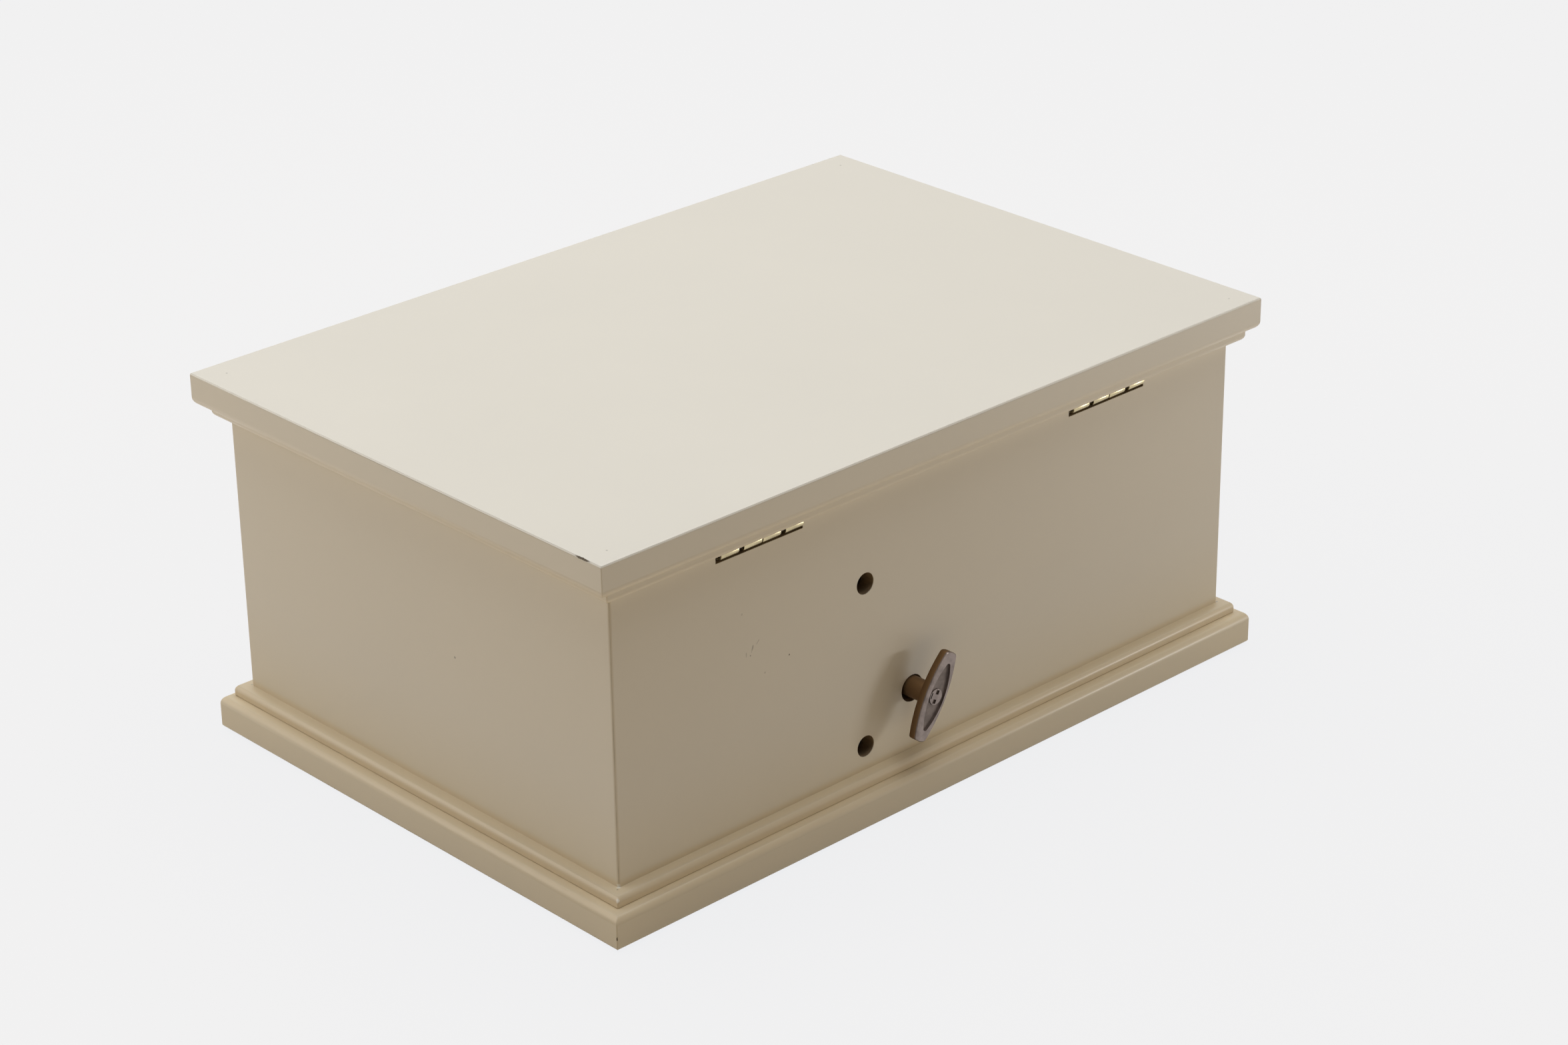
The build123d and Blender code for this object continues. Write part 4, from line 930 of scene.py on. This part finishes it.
class BOX_OT_ring_rolls(bpy.types.Operator):
    """Makes one padded ring roll and copies it along the tray"""

    bl_idname = "box.ring_rolls"
    bl_label = "Ring Rolls"

    def execute(self, context):
        slack = context.scene.box_lining.slack
        voxel, share = ROLL_CLOTH
        low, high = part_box("ring_roll_1")
        inset = Vector((slack, slack, slack))
        first = start_cube("velvet_roll_1", low + inset, high - inset)

        def along_top(edge):
            one, other = (corner.co for corner in edge.verts)
            top = high.z - slack - 1e-6
            return min(one.z, other.z) > top and abs(one.x - other.x) > 0.01

        choose_edges(first, along_top)
        radius = ((high.y - low.y) / 2 - slack) * ROLL_ROUND
        bpy.ops.mesh.bevel(offset=radius, segments=ROLL_STEPS, profile=0.5, affect="EDGES")
        bpy.ops.object.mode_set(mode="OBJECT")
        plump(first, "ring_roll_1", voxel, slack * share)
        rolls = [first]
        for number in range(2, ROLLS + 1):
            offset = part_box(f"ring_roll_{number}")[0] - low
            copy = first.copy()
            copy.data = first.data.copy()
            copy.data.transform(Matrix.Translation(offset))
            copy.name = f"velvet_roll_{number}"
            context.scene.collection.objects.link(copy)
            rolls.append(copy)
        for number, piece in enumerate(rolls, 1):
            soft_piece(piece, f"ring_roll_{number}")
        return {"FINISHED"}


class BOX_OT_base_felt(bpy.types.Operator):
    """Lays the felt under the base"""

    bl_idname = "box.base_felt"
    bl_label = "Base Felt"

    def execute(self, context):
        low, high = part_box("base_felt")
        size = high - low
        piece = start_cube("felt_sheet", low, high)
        choose_edges(piece, lambda edge: abs(edge.verts[0].co.z - edge.verts[1].co.z) > 1e-5)
        bpy.ops.mesh.bevel(offset=FELT_CORNER, segments=4, affect="EDGES")
        for cut in range(1, FELT_CUTS):
            for normal, start, reach in (((1, 0, 0), low.x, size.x), ((0, 1, 0), low.y, size.y)):
                bpy.ops.mesh.select_all(action="SELECT")
                place = Vector(normal) * (start + reach * cut / FELT_CUTS)
                bpy.ops.mesh.bisect(plane_co=place, plane_no=normal)
        mesh = bmesh.from_edit_mesh(piece.data)
        for corner in mesh.verts:
            x, y = corner.co.x, corner.co.y
            if min(x - low.x, high.x - x, y - low.y, high.y - y) < 1e-5:
                ripple = math.sin(310 * x + 2 * math.sin(170 * y)) * math.cos(290 * y)
                wave = FELT_WAVE * (1 + ripple)
                corner.co.x -= math.copysign(wave, x)
                corner.co.y -= math.copysign(wave, y)
        bmesh.update_edit_mesh(piece.data)
        leave_edit(piece, "grey felt")
        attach(piece, "box")
        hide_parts("base_felt")
        return {"FINISHED"}


# Studio

CAMERA_PLACE = (0.6647, 0.7280, 0.5161)
CAMERA_RIGHT = (-0.72597, 0.68762, -0.01228)
CAMERA_AHEAD = (-0.61840, -0.66051, -0.42580)
SENSOR_WIDTH = 36.0
NEAREST, FARTHEST = 0.01, 20.0
FLOOR_SIDE = 12
# Distances over which the floor turns paler, the shades that it turns from and to,
# and the distances over which it turns into the backdrop.
PALER = (0.12, 0.40)
PALER_SHADES = (0.85, 1.15)
FADES = (0.6, 2.0)
# Share of plain glow in the floor near the box. What is left of it shows the shadow.
GLOW_SHARE = 0.92
# Each lamp: its place, the point that it faces, and its sides.
LAMPS = {
    "overhead": ((-0.1, -0.1, 1.5), (0, 0, 0.05), (1.6, 1.6)),
    "left": ((0.70, -0.55, 0.40), (0.12, -0.04, 0.05), (0.6, 0.6)),
    "right": ((-0.50, 0.45, 0.02), (0.0, 0.09, 0.03), (0.14, 0.03)),
}


def softbox(name, place, target, size, light):
    """An area lamp. Its light is a colour in tens of watts."""
    power = max(light)
    lamp = bpy.data.lights.new(name, "AREA")
    lamp.shape = "RECTANGLE"
    lamp.size, lamp.size_y = size
    lamp.energy = 10.0 * power
    lamp.color = [share / power for share in light]
    holder = bpy.data.objects.new(name, lamp)
    bpy.context.scene.collection.objects.link(holder)
    holder.location = place
    holder.rotation_euler = (Vector(target) - Vector(place)).to_track_quat("-Z", "Y").to_euler()
    holder.visible_camera = False
    return holder


def seen_directly(tree):
    """One where the camera, a gloss or a glass looks, and zero for the light on the box."""
    paths = tree.nodes.new("ShaderNodeLightPath")
    seen = maths(tree, "MAXIMUM", paths.outputs["Is Camera Ray"], paths.outputs["Is Glossy Ray"])
    return maths(tree, "MAXIMUM", seen, paths.outputs["Is Transmission Ray"])


class BOX_OT_studio(bpy.types.Operator):
    """Sets the camera, the soft lights and the pale floor"""

    bl_idname = "box.studio"
    bl_label = "Studio"

    def execute(self, context):
        scene = context.scene
        sizes = scene.box_studio
        self.camera(scene, sizes)
        grey = (sizes.backdrop, sizes.backdrop, sizes.backdrop, 1)
        floor = self.floor(context, sizes, grey)
        self.surroundings(scene, sizes, grey)
        self.lamps(sizes, floor)
        scene.view_settings.view_transform = "Standard"
        return {"FINISHED"}

    def camera(self, scene, sizes):
        camera = bpy.data.cameras.new("camera")
        camera.lens = sizes.lens
        camera.sensor_width = SENSOR_WIDTH
        camera.clip_start, camera.clip_end = NEAREST, FARTHEST
        holder = bpy.data.objects.new("camera", camera)
        scene.collection.objects.link(holder)
        right, ahead = Vector(CAMERA_RIGHT), Vector(CAMERA_AHEAD)
        turn = Matrix((right, right.cross(ahead), -ahead)).transposed().to_4x4()
        holder.matrix_world = Matrix.Translation(CAMERA_PLACE) @ turn
        scene.camera = holder

    def floor(self, context, sizes, grey):
        """A pale floor that keeps the box's shadow and fades into the backdrop."""
        bpy.ops.object.select_all(action="DESELECT")
        bpy.ops.mesh.primitive_plane_add(size=1.0, location=(0, 0, 0))
        floor = context.active_object
        floor.name = "floor"
        bpy.ops.object.mode_set(mode="EDIT")
        bpy.ops.transform.resize(value=(FLOOR_SIDE, FLOOR_SIDE, 1))
        bpy.ops.object.mode_set(mode="OBJECT")
        made, tree, shader = material("studio floor")
        away = vector(tree, "LENGTH", object_position(tree))
        near_shade, far_shade = (rgba(Vector(sizes.floor) * shade) for shade in PALER_SHADES)
        pale = mix(tree, ramp(tree, away, *PALER), near_shade, far_shade)
        tree.links.new(pale, shader.inputs["Base Color"])
        shader.inputs["Roughness"].default_value = 0.9
        far = ramp(tree, away, *FADES)
        seen_colour = mix(tree, far, rgba(sizes.glow), grey)
        flat = node(tree, "Emission", inputs={"Color": seen_colour, "Strength": 1.0})
        plain = maths(tree, "MULTIPLY_ADD", far, 1.0 - GLOW_SHARE, GLOW_SHARE)
        share = maths(tree, "MULTIPLY", seen_directly(tree), plain)
        blend = node(tree, "MixShader", inputs={0: share, 1: shader.outputs[0], 2: flat.outputs[0]})
        tree.links.new(blend.outputs[0], tree.nodes["Material Output"].inputs["Surface"])
        floor.data.materials.append(made)
        return floor

    def surroundings(self, scene, sizes, grey):
        """A grey backdrop to look at, and a faint light from all round."""
        world = bpy.data.worlds.new("studio")
        scene.world = world
        world.use_nodes = True
        tree = world.node_tree
        tree.nodes.clear()
        lit = node(tree, "Background", inputs={"Color": rgba(sizes.ambient), "Strength": 1.0})
        plain = node(tree, "Background", inputs={"Color": grey, "Strength": 1.0})
        shaders = {0: seen_directly(tree), 1: lit.outputs[0], 2: plain.outputs[0]}
        blend = node(tree, "MixShader", inputs=shaders)
        out = tree.nodes.new("ShaderNodeOutputWorld")
        tree.links.new(blend.outputs[0], out.inputs["Surface"])

    def lamps(self, sizes, floor):
        """Three soft lamps. The low one doesn't light the floor."""
        made = {name: softbox(name, *place, getattr(sizes, name)) for name, place in LAMPS.items()}
        skipped = bpy.data.collections.new("not lit by the low lamp")
        skipped.objects.link(floor)
        skipped.collection_objects[0].light_linking.link_state = "EXCLUDE"
        made["right"].light_linking.receiver_collection = skipped


# Panel and run

OPERATORS = (
    BOX_OT_finishes,
    BOX_OT_woodwork,
    BOX_OT_hinges,
    BOX_OT_winding_key,
    BOX_OT_movement,
    BOX_OT_linings,
    BOX_OT_tray_pads,
    BOX_OT_ring_rolls,
    BOX_OT_base_felt,
    BOX_OT_studio,
)


SETTINGS = {
    "box_paint": PaintSettings,
    "box_metal": MetalSettings,
    "box_lining": LiningSettings,
    "box_studio": StudioSettings,
}


class BOX_PT_panel(bpy.types.Panel):
    """Steps and settings of the jewelry box"""

    bl_idname = "BOX_PT_panel"
    bl_label = "Jewelry Box"
    bl_space_type = "VIEW_3D"
    bl_region_type = "UI"
    bl_category = "Jewelry Box"

    def draw(self, context):
        for step in OPERATORS:
            self.layout.operator(step.bl_idname)
        for name, kind in SETTINGS.items():
            part = self.layout.box()
            for setting in kind.__annotations__:
                part.prop(getattr(context.scene, name), setting)


def register():
    for kind in (*SETTINGS.values(), *OPERATORS, BOX_PT_panel):
        bpy.utils.register_class(kind)
    for name, kind in SETTINGS.items():
        setattr(bpy.types.Scene, name, PointerProperty(type=kind))


def unregister():
    for name in SETTINGS:
        delattr(bpy.types.Scene, name)
    for kind in (BOX_PT_panel, *reversed(OPERATORS), *SETTINGS.values()):
        bpy.utils.unregister_class(kind)


def main():
    register()
    bpy.ops.box.finishes()
    bpy.ops.box.woodwork()
    bpy.ops.box.hinges()
    bpy.ops.box.winding_key()
    bpy.ops.box.movement()
    bpy.ops.box.linings()
    bpy.ops.box.tray_pads()
    bpy.ops.box.ring_rolls()
    bpy.ops.box.base_felt()
    bpy.ops.box.studio()


if __name__ == "__main__":
    main()
